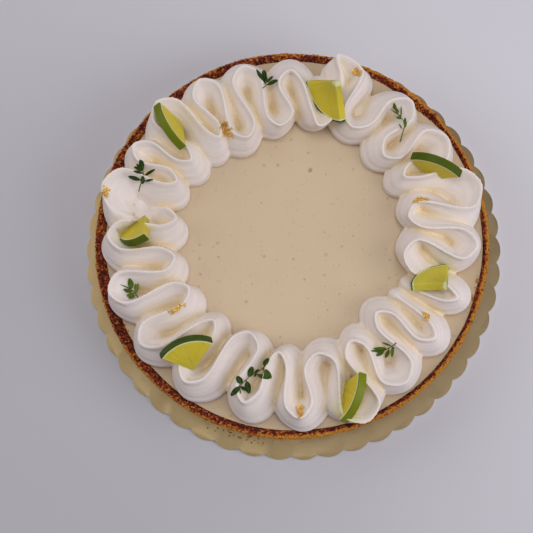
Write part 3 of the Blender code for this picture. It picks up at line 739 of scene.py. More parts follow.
def filling_material(colours):
    custard = Finish(
        "lime_filling", Subsurface_Weight=0.12, Subsurface_Scale=0.004, Subsurface_Radius=(1.0, 0.6, 0.3),
        Specular_IOR_Level=0.4,
    )
    broad = custard.mottle(14.0, 1.5)
    fine = custard.mottle(300.0, 1.0)
    bubbles = custard.specks(110.0, 0.13, 0.28, flat=True)
    pinholes = custard.specks(330.0, 0.15, 0.14, flat=True)
    x, y, z = custard.axes(custard.place)
    # Painted shade: the pits, bubbles and pinholes are painted darker, as shade in their hollows
    hollow = custard.between(z, 0.0303, 0.03085, 1.0, 0.0)
    spots = custard.most(custard.most(bubbles * 0.55, pinholes * 0.5), hollow * 0.7)
    surface = custard.mix(
        broad * 0.7 + fine * 0.3, scaled(colours.filling, 0.95), scaled(colours.filling, 1.05)
    )
    # Painted shade: it is painted darker near the crust, where the crust and cream shade it
    crust_shade = custard.between(custard.length(x, y), 0.092, 0.108, 0.0, 0.8)
    surface = custard.mix(crust_shade, surface, scaled(colours.filling, 0.82, 0.78, 0.72))
    surface = custard.mix(spots, surface, colours.filling_pit_shade)
    relief = fine * 0.05 - custard.most(bubbles, pinholes)
    return custard.done(surface, custard.between(fine, 0.2, 0.8, 0.42, 0.52), relief, 0.3, 0.6)


def cream_material(colours):
    """Cream with painted shade, warmer and darker in its folds and creases, and painted green light and shade
    near the lime slices.
    """
    whip = Finish(
        "piped_cream", Subsurface_Weight=0.1, Subsurface_Scale=0.0015, Subsurface_Radius=(1.0, 0.75, 0.5),
        Specular_IOR_Level=0.25,
    )
    rise, run, fold, crease, juice = map(whip.value, ("rise", "run", "fold", "crease", "juice"))
    streaks = whip.noise(whip.vector(run * 0.06, rise * 14.0), 1.0, 3.0, 0.5)
    mottled = whip.mottle(90.0, 1.2)
    broad = whip.mottle(30.0, 2.0)
    grain = whip.mottle(900.0, 1.0)
    # Painted shade: the more the cream shuts a point in, the warmer and darker it is painted
    depth = fold + (mottled - 0.5) * 0.12
    surface = whip.mix(whip.between(depth, 0.06, 0.55), colours.cream, colours.cream_fold_shade)
    # Painted shade: thin dark lines in the creases
    crease = whip.between(crease, 0.10, 0.19) * 0.5 * whip.between(mottled, 0.2, 0.6)
    surface = whip.mix(crease, surface, colours.cream_crease_shade)
    # Painted light: green light through the slices, and their shade
    surface = whip.mix(juice * 0.75, surface, colours.cream_green_light)
    surface = whip.scale(surface, whip.between(streaks, 0.35, 0.65, 0.965, 1.02))
    # Small beads along the crest, where the nozzle's teeth let go
    beads = whip.math("SINE", run * 2.3 + mottled * 11.0) * whip.between(rise, 0.9, 0.98, 0.0, 0.17)
    beads = beads * whip.between(broad, 0.35, 0.65)
    relief = streaks * 0.34 + grain * 0.12 + beads
    return whip.done(surface, whip.between(mottled, 0.2, 0.8, 0.48, 0.6), relief, 0.5, 0.6)


def lime_material(colours):
    """Rind, pith, membranes and flesh, from each point's place in its own slice, in millimetres."""
    lime = Finish(
        "lime", Subsurface_Weight=0.15, Subsurface_Scale=0.003, Subsurface_Radius=(0.9, 1.0, 0.25),
        Specular_IOR_Level=0.2,
    )
    x, y, z = lime.axes(lime.add("ShaderNodeAttribute", "Vector", {"attribute_name": "slice"}))
    reach = lime.length(x, y)
    angle = lime.math("ARCTAN2", y, x)
    edge = reach + (lime.mottle(160.0, 1.0) - 0.5) * 0.35
    # Vesicles: noise drawn out along the radius
    vesicles = lime.noise(lime.vector(reach * 0.16, angle * 9.0, z * 0.3), 1.0, 4.0, 0.6)
    vesicles = lime.between(vesicles, 0.36, 0.68)
    lines = [lime.between(abs(angle - turn) * reach, 0.05, 0.45, 1.0, 0.0) for turn in LIME_MEMBRANES]
    membranes = functools.reduce(lime.most, lines)
    flesh = scaled(colours.lime_flesh, 0.9, 1.0, 3.0)
    flesh = lime.mix(lime.value("flesh_tone"), flesh, colours.lime_flesh)
    deep = scaled(colours.lime_flesh, 0.68, 0.74, 0.7)
    flesh = lime.mix(lime.between(reach, 1.0, LIME_REACH * 0.7, 0.9, 0.0), flesh, deep)
    flesh = lime.mix(vesicles * 0.35, flesh, colours.lime_pale)
    flesh = lime.mix(membranes * 0.3, flesh, colours.lime_pale)
    torn = lime.value("core") + (lime.mottle(300.0, 2.0) - 0.5) * 2.4
    core = lime.between(torn - reach, -0.35, 0.35)
    pith = lime.between(edge, LIME_REACH - 2.0, LIME_REACH - 1.5)
    inside = lime.mix(lime.most(core * 0.9, pith), flesh, colours.lime_pith)
    pores = lime.specks(900.0, 0.45, 0.8)
    rind = lime.mix(lime.value("rind_tone"), colours.rind_dark, colours.rind_light)
    rind = lime.mix(lime.mottle(220.0, 1.6) * 0.45, rind, lime.mix(0.5, rind, colours.rind_light))
    rind = lime.mix(pores * 0.25, rind, scaled(colours.rind_dark, 1.6))
    skin = lime.between(edge, LIME_REACH - 1.15, LIME_REACH - 0.85)
    relief = (vesicles - membranes * 0.6) * (1.0 - pith) - pores * skin * 0.8
    return lime.done(lime.mix(skin, inside, rind), lime.between(skin, 0.0, 1.0, 0.32, 0.42), relief, 0.2, 0.5)


def thyme_material(colours):
    """Leaves with a pale rib; leaf holds along, across and whether the point is stem."""
    thyme = Finish("thyme", Specular_IOR_Level=0.12, Subsurface_Weight=0.05, Subsurface_Scale=0.001)
    _, across, stem = thyme.axes(thyme.add("ShaderNodeAttribute", "Vector", {"attribute_name": "leaf"}))
    mottled = thyme.mottle(500.0, 2.0)
    tone = thyme.math("ADD", thyme.value("tone"), (mottled - 0.5) * 0.5, clamp=True)
    green = thyme.mix(tone, colours.thyme_dark, colours.thyme_light)
    rib = thyme.between(abs(across), 0.02, 0.16, 0.55, 0.0)
    green = thyme.mix(rib, green, thyme.mix(0.6, green, colours.thyme_light))
    green = thyme.mix(stem, green, thyme.mix(mottled, colours.thyme_stem, colours.thyme_light))
    return thyme.done(green, thyme.between(mottled, 0.0, 1.0, 0.5, 0.65), mottled - rib * 1.5, 0.12, 0.6)


def gold_leaf_material(colours):
    leaf = Finish("gold_leaf", Metallic=0.75)
    crinkle = leaf.add("ShaderNodeTexVoronoi", "Distance", Vector=leaf.place, Scale=1100.0)
    tone = leaf.mottle(700.0, 2.0)
    gold = leaf.mix(tone, colours.gold, scaled(colours.gold, 1.05, 1.35, 2.6))
    return leaf.done(gold, leaf.between(tone, 0.0, 1.0, 0.22, 0.4), crinkle, 0.3, 0.6)


def table_material(colours):
    table = Finish("table", Specular_IOR_Level=0.2)
    lit = table.mix(table.mottle(6.0, 0.8), scaled(colours.table, 0.985), scaled(colours.table, 1.015))
    # Painted light and shade: it is painted lighter toward the far right and darker toward the near left
    x, y, _ = table.axes(table.place)
    lit = table.scale(lit, table.between(x + y, -0.26, 0.26, 0.86, 1.15, smooth=False))
    return table.done(lit, 0.65)


# --- Card ---

TIP_SHARE = 0.9999  # keeps the rounded tips inside the frame's card
FIRST_LOBE_DEGREES = -0.5


class PIE_OT_card(bpy.types.Operator):
    """Adds the scalloped gold card: a disc with a ring of round lobes, its edges eased"""

    bl_idname = "pie.card"
    bl_label = "Scalloped card"

    def execute(self, context):
        sizes = context.scene.pie_sizes
        tip = sizes.card_radius * TIP_SHARE
        valley = sizes.card_valley_radius
        thick = sizes.card_thickness
        half_pitch = math.pi / sizes.card_scallops
        reach = valley * math.sin(half_pitch)
        bulge = tip - valley * math.cos(half_pitch)
        lobe_radius = (reach * reach + bulge * bulge) / (2 * bulge)
        card = new_piece(
            "card", bpy.ops.mesh.primitive_cylinder_add, vertices=200, radius=valley * 0.96, depth=thick,
            location=(0.0, 0.0, thick / 2),
        )
        out = tip - lobe_radius
        lobes = []
        for number in range(sizes.card_scallops):
            turn = math.radians(FIRST_LOBE_DEGREES) + 2 * half_pitch * number
            lobes.append(new_piece(
                f"lobe_{number}", bpy.ops.mesh.primitive_cylinder_add, vertices=64, radius=lobe_radius,
                depth=thick, location=(out * math.cos(turn), out * math.sin(turn), thick / 2),
                rotation=(0.0, 0.0, turn),
            ))
        boolean(card, lobes, "UNION", "MANIFOLD")
        clean_mesh(card, 0.00002)
        apply_modifier(
            card, "BEVEL", width=0.4 * MM, segments=2, limit_method="ANGLE", angle_limit=math.radians(60)
        )
        finish_piece(card, gold_card_material(context.scene.pie_colours), ("cake_card",))
        return {"FINISHED"}


# --- Crust ---


def drawn_line(name, points):
    """A line of edges, extruded from its first point to its last, with none of it selected."""
    line = new_piece(name, bpy.ops.mesh.primitive_plane_add, size=2 * MM, location=(0.0, 0.0, 0.0))
    with editing(line):
        bpy.ops.mesh.merge(type="CENTER")
        bpy.ops.transform.translate(value=Vector(points[0]) * MM)
        for before, after in zip(points, points[1:]):
            step = (Vector(after) - Vector(before)) * MM
            bpy.ops.mesh.extrude_region_move(TRANSFORM_OT_translate={"value": step})
        bpy.ops.mesh.select_all(action="DESELECT")
    return line


def chunk_depth(degrees):
    depth = np.zeros_like(degrees)
    for middle, spread, inward in CRUST_CHUNKS:
        depth += inward * np.exp(-((turned_from(middle, degrees) / spread) ** 2))
    return depth


def displace(piece, kind, size_mm, strength_mm, **settings):
    """Moves the surface in and out by a procedural pattern."""
    pattern = bpy.data.textures.new(piece.name + "_" + kind.lower(), kind)
    pattern.noise_scale = size_mm * MM
    for key, value in settings.items():
        setattr(pattern, key, value)
    apply_modifier(
        piece, "DISPLACE", texture=pattern, strength=strength_mm * MM, mid_level=0.5, texture_coords="LOCAL"
    )
    bpy.data.textures.remove(pattern)


class PIE_OT_crust(bpy.types.Operator):
    """Adds the crumb crust: a profile spun round the pie, then roughened into crumbs"""

    bl_idname = "pie.crust"
    bl_label = "Crumb crust"

    def execute(self, context):
        sizes = context.scene.pie_sizes
        under = CRUST_LOW.z / MM
        top = sizes.rim_height / MM
        rim = sizes.rim_radius / MM
        inner = sizes.inner_radius / MM
        foot = sizes.foot_radius / MM
        fill = sizes.filling_top / MM
        outer = [
            (foot + (rim - foot) * k / 7, 0.0, under + 1.0 + (top - under - 2.2) * k / 7) for k in range(8)
        ]
        profile = [
            (0.0, 0.0, under), (foot - 1.0, 0.0, under), *outer, (rim - 0.7, 0.0, top - 0.35),
            (rim - 2.0, 0.0, top - 0.3), (inner + 1.3, 0.0, top - 0.9), (inner + 0.2, 0.0, fill + 0.9),
            (inner - 0.6, 0.0, fill - 0.4), (inner - 0.6, 0.0, fill - 4.0), (0.0, 0.0, fill - 6.0),
        ]
        crust = drawn_line("crust_wall", profile)
        # The rim and the wall inside get finer edges
        for edge in crust.data.edges:
            ends = [crust.data.vertices[v].co.x / MM for v in edge.vertices]
            edge.select = min(ends) > inner - 1.0 and abs(ends[0] - ends[1]) < 6.0
        with editing(crust, select_all=False):
            bpy.ops.mesh.subdivide(number_cuts=4)
            bpy.ops.mesh.select_all(action="SELECT")
            bpy.ops.mesh.spin(
                steps=CRUST_STEPS, angle=2 * math.pi,
                center=(0.0, 0.0, 0.0), axis=(0.0, 0.0, 1.0),
            )
        clean_mesh(crust, 0.00003)
        points = points_of(crust)
        radius = np.hypot(points[:, 0], points[:, 1])
        degrees = np.degrees(np.arctan2(points[:, 1], points[:, 0]))
        inward = np.clip((rim - 1.2 - radius) / (rim - 1.2 - inner), 0.0, 1.0)
        outward = 1.0 - inward
        shift = outward * (0.55 * np.cos(np.radians(degrees - 200.0)) + 0.25 * wavering(degrees, 1.3))
        from_thin = np.cos(np.radians(degrees - THIN_RIM_DEGREES))
        shift += inward * (THIN_RIM * from_thin + 0.25 * wavering(degrees, 2.6) - chunk_depth(degrees))
        shift *= np.clip((radius - inner + 8.0) / 6.0, 0.0, 1.0)
        points[:, :2] *= ((radius + shift) / np.maximum(radius, 1.0))[:, None]
        # Painted shade: the crumbs are painted darker away from the rim's outer edge, and more so on the left
        # where the cream shades them; part of it is their own deeper bake
        right = 0.5 + 0.5 * from_thin
        inside = np.clip((rim - radius) / (rim - inner), 0.0, 1.5) + 0.08 * wavering(degrees * 2.0, 0.7)
        baked = np.clip((inside + 0.06 - 0.48 * right) / 0.3, 0.0, 1.0)
        store(crust, "baked", baked)
        drop = np.clip((points[:, 2] - fill + 2.0) / 4.0, 0.0, 1.0) * 0.25 * (1.0 + wavering(degrees, 4.2))
        points[:, 2] -= drop
        move_points(crust, points)
        crumb = sizes.crumb_depth / MM
        displace(crust, "VORONOI", 1.3, crumb, distance_metric="DISTANCE", weight_1=1.0)
        displace(crust, "CLOUDS", 0.7, crumb * 0.8, noise_depth=3)
        points = points_of(crust)
        points[:, 2] = np.clip(points[:, 2], under, top)
        move_points(crust, points)
        finish_piece(crust, crumb_material(context.scene.pie_colours), ("crust",), 70.0)
        return {"FINISHED"}


# --- Filling ---


def merged_copy(node, name):
    """A copy of a node of the frame with its loose triangles merged, to be shaped further."""
    source = frame["nodes"][node]
    piece = bpy.data.objects.new(name, source.data.copy())
    bpy.context.scene.collection.objects.link(piece)
    piece.matrix_world = source.matrix_world
    clean_mesh(piece, 0.00002)
    return piece


class PIE_OT_filling(bpy.types.Operator):
    """Adds the filling: the frame's solid with a soft edge and pits where bubbles broke"""

    bl_idname = "pie.filling"
    bl_label = "Filling"

    def execute(self, context):
        sizes = context.scene.pie_sizes
        filling = merged_copy("filling", "filling_surface")
        put_in_mesh(filling)
        with editing(filling):
            bpy.ops.mesh.dissolve_limited(angle_limit=math.radians(1.0))
        draw = random.Random(5)
        pits = [(x * MM, y * MM, r * MM) for x, y, r in PITS]
        while len(pits) < len(PITS) + SMALL_PITS:
            spot = polar(draw.uniform(0.0, 360.0), PITS_REACH * math.sqrt(draw.random())) * MM
            radius = draw.choice(SMALL_PIT_RADII) * MM
            if all(math.hypot(spot.x - x, spot.y - y) > r + radius + PIT_GAP * MM for x, y, r in pits):
                pits.append((spot.x, spot.y, radius))
        balls = []
        for x, y, radius in pits:
            ball = radius * PIT_BALL
            height = sizes.filling_top + math.sqrt(ball * ball - radius * radius)
            balls.append(new_piece(
                "pit", bpy.ops.mesh.primitive_uv_sphere_add, segments=20, ring_count=12, radius=ball,
                location=(x, y, height),
            ))
        cutter = joined("pits", balls)
        put_in_mesh(cutter)
        boolean(filling, [cutter], "DIFFERENCE")
        finish_piece(filling, filling_material(context.scene.pie_colours), ("filling",), 35.0)
        for face in filling.data.polygons:
            if face.normal.z > 0.9999:
                face.use_smooth = False
        return {"FINISHED"}


# --- Cream ---


def turn_points(degrees, radius, half_width):
    """The side, end and other side of one turn, or its single point."""
    if half_width == 0.0:
        return [polar(degrees, radius)]
    inward = TURN_DEPTH if radius > TURN_MIDDLE_RADIUS else -TURN_DEPTH
    side_radius = radius - inward
    spread = math.degrees(half_width / side_radius)
    return [
        polar(degrees - spread, side_radius), polar(degrees, radius), polar(degrees + spread, side_radius)
    ]


def smooth_line(knots, steps):
    """Points along a curve through the knots, closer where the knots are closer."""
    line = []
    padded = [knots[0] * 2 - knots[1], *knots, knots[-1] * 2 - knots[-2]]
    for index in range(1, len(padded) - 2):
        before, start, end, after = padded[index - 1:index + 3]
        leap = math.sqrt((end - start).length)
        leave = (end - before) / ((start - before).length + (end - start).length) * leap ** 2
        arrive = (after - start) / ((after - end).length + (end - start).length) * leap ** 2
        for step in range(steps):
            t = step / steps
            line.append(
                start * (2 * t ** 3 - 3 * t ** 2 + 1)
                + leave * (t ** 3 - 2 * t ** 2 + t)
                + end * (3 * t ** 2 - 2 * t ** 3)
                + arrive * (t ** 3 - t ** 2)
            )
    line.append(knots[-1].copy())
    return line


def fine_section(rows):
    """The cream's section with its width read off a smooth curve at evenly spaced heights."""
    shares, widths = zip(*CREAM_SECTION)
    fine = [(row / rows, float(np.interp(row / rows, shares, widths))) for row in range(rows + 1)]
    smooth = []
    for row, (share, width) in enumerate(fine):
        near = [near_width for _, near_width in fine[max(row - 1, 0):row + 2]]
        smooth.append((share, sum(near) / len(near) if 0 < row < rows else width))
    return smooth


def ragged(degrees):
    """How much the crest breaks up at this place round the pie."""
    most = max(math.exp(-(turned_from(place, degrees) / RAGGED_SPREAD) ** 2) for place in RAGGED_CRESTS)
    return 0.18 + 0.82 * most


def foot_half_width(sizes, radius):
    start, full = CREAM_WIDENING_RADII
    share = min(1.0, max(0.0, (radius - start) / (full - start)))
    return (sizes.cream_half_width + sizes.cream_widening * share * share * (3.0 - 2.0 * share)) / MM


def arc_lengths(line):
    """How far along the line each of its points lies."""
    lengths = [0.0]
    for before, after in zip(line, line[1:]):
        lengths.append(lengths[-1] + (after - before).length)
    return lengths


def cream_ribbon(turns, sizes, steps, rows):
    """One ruffled ribbon's points, the height, run and heading at each, and its faces."""
    crest_knots = []
    foot_knots = []
    for degrees, radius, half_width, foot_degrees, foot_radius in turns:
        crest_knots += turn_points(degrees, radius, half_width)
        foot_knots += turn_points(foot_degrees, foot_radius, half_width)
    crest = smooth_line(crest_knots, steps)
    foot = smooth_line(foot_knots, steps)
    runs = arc_lengths(crest)
    foot_runs = arc_lengths(foot)
    section = fine_section(rows)
    count = len(crest)
    points = []
    marks = []
    bottom = sizes.filling_top / MM - CREAM_SINK
    full = sizes.cream_crest / MM
    for index in range(count):
        ahead = min(index + 1, count - 1)
        back = max(index - 1, 0)
        run = runs[index]
        grown = min(1.0, min(index, count - 1 - index) / (1.5 * steps))
        top = bottom + (full - bottom) * (0.62 + 0.38 * math.sin(grown * math.pi / 2))
        broken = ragged(math.degrees(math.atan2(crest[index].y, crest[index].x)))
        beads = math.sin(run * 2.6) * 0.5 + math.sin(run * 1.33 + 1.0) * 0.35
        beads += math.sin(run * 3.9 + 2.0) * 0.15
        half = foot_half_width(sizes, foot[index].length)
        # The ribbon's ends are round and low
        from_tip = min(foot_runs[index], foot_runs[-1] - foot_runs[index])
        nose = max(0.0, 1.0 - from_tip / (1.1 * half))
        rounding = math.sqrt(1.0 - nose * nose)
        half *= max(0.15, rounding)
        top = bottom + (top - bottom) * (0.4 + 0.6 * rounding)
        left = []
        right = []
        for share, width in section:
            lean = share ** 1.4 * rounding
            along = (foot[ahead] - foot[back]).lerp(crest[ahead] - crest[back], lean).normalized()
            ripple = 0.10 * math.sin(share * 24.0 + 0.5 * math.sin(run * 0.11)) * math.sin(share * math.pi)
            near_top = max(0.0, (share - 0.86) / 0.14)
            edge = near_top * broken * 0.32 * beads
            across = Vector((-along.y, along.x, 0.0))
            middle = foot[index].lerp(crest[index], lean) + across * edge
            middle.z = bottom + (top - bottom) * share - near_top * broken * 0.45 * (0.5 + 0.5 * beads)
            dome = math.sqrt(max(0.0, 1.0 - share * share))
            side = across * (half * (width + (dome - width) * nose) + ripple * rounding)
            left.append(middle + side)
            right.append(middle - side)
            marks.append((share, run, along.x, along.y))
        points += right + left[::-1]
        marks += marks[-len(section):][::-1]
    return points, marks, rings_to_faces(count, 2 * len(section))


def cream_bed(sizes):
    """The low ring of cream that fills the bottoms of the folds, uneven on top."""
    around = 360
    rings = 10
    bottom = sizes.filling_top / MM - CREAM_SINK
    inner, outer = CREAM_BED_RADII
    points = [polar(step, radius, bottom) for radius in (inner, outer) for step in range(around)]
    for ring in range(rings):
        radius = outer + (inner - outer) * ring / (rings - 1)
        for step in range(around):
            turn = math.radians(step)
            wave = math.sin(radius * 0.55 + 2.0 * math.sin(turn * 5.0))
            wave += 0.6 * math.sin(turn * 31.0 + radius * 0.4)
            points.append(polar(step, radius, CREAM_BED_TOP + 0.4 * wave))
    return points, rings_to_faces(rings + 2, around, closed=True)


def lime_pose(row):
    """The place of one slice: its middle, its side and its face as the axes, at its cut corner."""
    x, y, z, heading, slope, roll = row[:6]
    slope = math.radians(slope)
    roll = math.radians(roll)
    up_slope = polar(heading, math.cos(slope), math.sin(slope))
    face = up_slope.cross(polar(heading + 90.0, 1.0)).normalized()
    if face.z < 0.0:
        face.negate()
    level = face.cross(up_slope)
    middle = up_slope * math.cos(roll) + level * math.sin(roll)
    return pose_of((middle, face.cross(middle), face), Vector((x, y, z)) * MM)


def lime_pocket(number, sizes, shrink):
    """The space of one slice and of what lies over it."""
    row = LIMES[number - 1]
    pose = lime_pose(row)
    radius = row[6] * sizes.lime_size - shrink
    half = sizes.lime_thickness / MM / 2 - shrink
    outline = [Vector((shrink * 1.4, 0.0, 0.0))]
    for step in range(17):
        turn = math.pi / 4 * (step / 8 - 1) * 0.985
        outline.append(Vector((radius * math.cos(turn), radius * math.sin(turn), 0.0)))
    points = []
    for height, lift in ((-half, 0.0), (half, 0.0), (half, POCKET_LIFT)):
        for spot in outline:
            place = pose @ (Vector((spot.x, spot.y, height)) * MM)
            points.append(place / MM + Vector((0.0, 0.0, lift)))
    return object_from(f"pocket_{number}", points, rings_to_faces(3, len(outline)))


def smoothed(piece, values, times):
    """The values of the piece's points, each averaged with its neighbours."""
    ends = np.empty(len(piece.data.edges) * 2, int)
    piece.data.edges.foreach_get("vertices", ends)
    first, second = ends.reshape(-1, 2).T
    count = np.bincount(ends, minlength=len(values)) + 1.0
    for _ in range(times):
        total = values.copy()
        np.add.at(total, first, values[second])
        np.add.at(total, second, values[first])
        values = total / count
    return values


def creased(piece):
    """How far each point lies below those round it, in millimetres: high in a crease, low on a ridge."""
    points = points_of(piece)
    level = np.stack([smoothed(piece, points[:, axis], 3) for axis in range(3)], 1)
    return smoothed(piece, ((level - points) * read(piece, "normal")).sum(axis=1), 1)


def sheltered(piece, rays):
    """How much of the room round each point the piece itself shuts in: 0 in the open, 1 in a cleft."""
    reach = SHELTER_REACH * MM
    tree = surface_tree(piece)
    count = len(piece.data.vertices)
    normals = read(piece, "normal")
    side = np.cross(normals, (0.31, 0.17, 0.93))
    side /= np.maximum(np.linalg.norm(side, axis=1), 1e-6)[:, None]
    front = np.cross(normals, side)
    starts = points_of(piece) * MM + normals * 0.3 * MM
    shut = np.zeros(count)
    for ray in range(rays):
        out = math.sqrt((ray + 0.5) / rays)
        turn = ray * 2.4
        way = normals * math.sqrt(1.0 - out * out) + (side * math.cos(turn) + front * math.sin(turn)) * out
        for index in range(count):
            distance = tree.ray_cast(starts[index], way[index], reach)[3]
            if distance is not None:
                shut[index] += 1.0 - distance / reach
    return smoothed(piece, shut / rays, 2)


def lime_distance(points, sizes, row):
    """Each point's distance from one slice, and from the slice's cut corner."""
    inverse = lime_pose(row).inverted()
    local = points @ np.array(inverse.to_3x3()).T + np.array(inverse.translation) / MM
    radius = np.hypot(local[:, 0], local[:, 1])
    over_face = np.abs(local[:, 2]) - sizes.lime_thickness / MM / 2
    past_cuts = (np.abs(local[:, 1]) - local[:, 0]) / math.sqrt(2.0)
    away = np.hypot(np.maximum(over_face, 0.0), np.maximum(np.maximum(radius - row[6], past_cuts), 0.0))
    return away, radius


def nearness(away, reach):
    """1 at a slice, falling to 0 well beyond the reach."""
    return np.exp(-((away / reach) ** 2))


def green_light_tint(points, sizes):
    """How much painted green light and shade from the slices lies on the cream at each point."""
    tint = np.zeros(len(points))
    for row, (reach, strength) in zip(LIMES, GREEN_LIGHT):
        away, radius = lime_distance(points, sizes, row)
        tint = np.maximum(tint, strength * nearness(away, reach) * np.clip((radius - 5.0) / 6.0, 0.0, 1.0))
    return tint


class PIE_OT_cream(bpy.types.Operator):
    """Adds the piped cream: three ruffled ribbons, fused, softened and pressed in by the limes"""

    bl_idname = "pie.cream"
    bl_label = "Piped cream"

    def execute(self, context):
        sizes = context.scene.pie_sizes
        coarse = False
        detail = RIBBON_DETAIL_QUICK if coarse else RIBBON_DETAIL
        points = []
        marks = []
        faces = []
        for turns in STROKES:
            ribbon, places, quads = cream_ribbon(turns, sizes, *detail)
            faces += moved_on(quads, len(points))
            points += ribbon
            marks += places
        bed, quads = cream_bed(sizes)
        faces += moved_on(quads, len(points))
        cream = object_from("cream_ring", points + bed, faces)
        cell = sizes.cream_cell * (2.0 if coarse else 1.0)
        apply_modifier(cream, "REMESH", mode="VOXEL", voxel_size=cell)
        pockets = [lime_pocket(number, sizes, shrink) for number, shrink in LIME_POCKETS]
        boolean(cream, pockets, "DIFFERENCE", "MANIFOLD")
        apply_modifier(cream, "SMOOTH", factor=0.5, iterations=2)
        pressed = cream.vertex_groups.new(name="pressed")
        now = points_of(cream)
        away = [lime_distance(now, sizes, LIMES[number - 1])[0] for number, _ in LIME_POCKETS]
        weights = np.max([nearness(distance, PRESSED_REACH) for distance in away], axis=0)
        for index in np.nonzero(weights > 0.1)[0]:
            pressed.add([int(index)], float(weights[index]), "REPLACE")
        apply_modifier(cream, "SMOOTH", factor=0.5, iterations=18, vertex_group="pressed")
        triangles = sum(len(face.vertices) - 2 for face in cream.data.polygons)
        if triangles > CREAM_TRIANGLES:
            apply_modifier(cream, "DECIMATE", ratio=CREAM_TRIANGLES / triangles)
        clean_mesh(cream)
        now = points_of(cream)
        tree = KDTree(len(points))
        for index, point in enumerate(points):
            tree.insert(point, index)
        tree.balance()
        nearest = np.array([tree.find(point)[1] for point in now])
        rise, run, along_x, along_y = np.array(marks)[nearest].T
        ahead = now - np.array([tuple(point) for point in points])[nearest]
        store(cream, "rise", rise)
        store(cream, "run", run + ahead[:, 0] * along_x + ahead[:, 1] * along_y)
        # Painted shade comes from the fold and crease marks
        store(cream, "fold", sheltered(cream, SHELTER_RAYS_QUICK if coarse else SHELTER_RAYS))
        store(cream, "crease", creased(cream))
        # Painted light: green light and shade from the lime slices
        store(cream, "juice", green_light_tint(now, sizes))
        finish_piece(cream, cream_material(context.scene.pie_colours), ("cream",), 60.0)
        return {"FINISHED"}


# --- Limes ---


class PIE_OT_limes(bpy.types.Operator):
    """Adds the lime quarters: discs cut twice, with swollen segments between sunken membranes"""

    bl_idname = "pie.limes"
    bl_label = "Lime quarters"

    def execute(self, context):
        sizes = context.scene.pie_sizes
        thick = sizes.lime_thickness
        material = lime_material(context.scene.pie_colours)
        quarter = new_piece(
            "lime_quarter", bpy.ops.mesh.primitive_cylinder_add, vertices=128, radius=LIME_REACH * MM,
            depth=thick, rotation=(0.0, 0.0, 0.1),
        )
        put_in_mesh(quarter)
        with editing(quarter):
            for degrees in (-135.0, 135.0):
                bpy.ops.mesh.bisect(
                    plane_co=(0.0, 0.0, 0.0), plane_no=polar(degrees, 1.0), use_fill=True, clear_outer=True
                )
                bpy.ops.mesh.select_all(action="SELECT")
        cell = sizes.lime_cell * 1.0
        apply_modifier(quarter, "REMESH", mode="VOXEL", voxel_size=cell)
        apply_modifier(quarter, "SMOOTH", factor=0.5, iterations=3)
        plain = points_of(quarter)
        for number, row in enumerate(LIMES, 1):
            lime = copied(f"lime_slice_{number}", quarter)
            points = plain.copy()
            reach = np.hypot(points[:, 0], points[:, 1])
            angle = np.arctan2(points[:, 1], points[:, 0])
            store(lime, "slice", points, "FLOAT_VECTOR")
            for name, value in zip(("rind_tone", "flesh_tone", "core"), row[7:]):
                store(lime, name, np.full(len(points), value))
            # Segments swell a little and the membranes between them sink
            flesh = np.clip((LIME_REACH - 2.2 - reach) / 1.2, 0.0, 1.0)
            flesh = flesh * np.clip((reach - 1.5) / 1.5, 0.0, 1.0)
            away = np.min([np.abs(angle - turn) * reach for turn in LIME_MEMBRANES], axis=0)
            swell = np.clip(away / 1.6, 0.0, 1.0) ** 0.5 * 0.24 - 0.16
            rough = 0.05 * np.sin(points[:, 0] * 3.1 + number) * np.sin(points[:, 1] * 3.7 + 2.0 * number)
            face = np.clip((np.abs(points[:, 2]) - thick / MM / 2 + 0.8) / 0.6, 0.0, 1.0)
            points[:, 2] += np.sign(points[:, 2]) * flesh * face * (swell + rough)
            pores = 0.06 * np.sin(points[:, 1] * 5.3) * np.sin(points[:, 2] * 6.1 + number)
            skin = np.clip((reach - LIME_REACH + 0.8) / 0.6, 0.0, 1.0)
            skin = skin * (np.abs(np.abs(angle) - 0.785) > 0.02)  # and not on the cut faces
            points[:, :2] *= (1.0 + pores * skin / np.maximum(reach, 1.0))[:, None]
            # The slice is never quite flat
            points[:, 2] += 0.0012 * (points[:, 0] - 8.0) * points[:, 1] * (1 if number % 2 else -1)
            points[:, :2] *= row[6] * sizes.lime_size / LIME_REACH
            move_points(lime, points)
            lime.matrix_world = lime_pose(row)
            finish_piece(lime, material, (f"lime_{number}",), 50.0)
        bpy.data.objects.remove(quarter, do_unlink=True)
        return {"FINISHED"}


# --- Thyme ---


def surface_tree(piece):
    """A tree of the piece's faces, to find what lies below a place."""
    points = [vertex.co.copy() for vertex in piece.data.vertices]
    return BVHTree.FromPolygons(points, [tuple(face.vertices) for face in piece.data.polygons])


def ground(tree, x, y):
    """Height of the first surface met from above, or else of the filling, in millimetres."""
    hit = tree.ray_cast(Vector((x, y, 90.0)) * MM, Vector((0.0, 0.0, -1.0)))[0]
    return hit.z / MM if hit else FILLING_TOP


def thyme_leaf():
    """One leaf with its stalk: unit length and unit half width, with its tip at +X."""
    leaf = new_piece(
        "thyme_leaf", bpy.ops.mesh.primitive_grid_add, x_subdivisions=14, y_subdivisions=6, size=2.0
    )
    points = points_of(leaf) * MM
    along = (points[:, 0] + 1.0) / 2.0
    blade = np.clip((along - LEAF_STALK) / (1.0 - LEAF_STALK), 0.0, 1.0)
    outline = 0.16 + 0.84 * np.sin(np.pi * np.clip(blade * 0.92 + 0.04, 0.0, 1.0) ** 0.85) ** 0.8
    outline *= np.clip((1.03 - blade) / 0.12, 0.0, 1.0) ** 0.6
    outline = np.where(along < LEAF_STALK, 0.22, outline)
    across = points[:, 1] * outline
    level = np.zeros(len(along))
    store(leaf, "leaf", np.stack([blade, across, level], 1), "FLOAT_VECTOR")
    leaf.data.vertices.foreach_set("co", np.stack([along, across, level], 1).ravel())
    return leaf


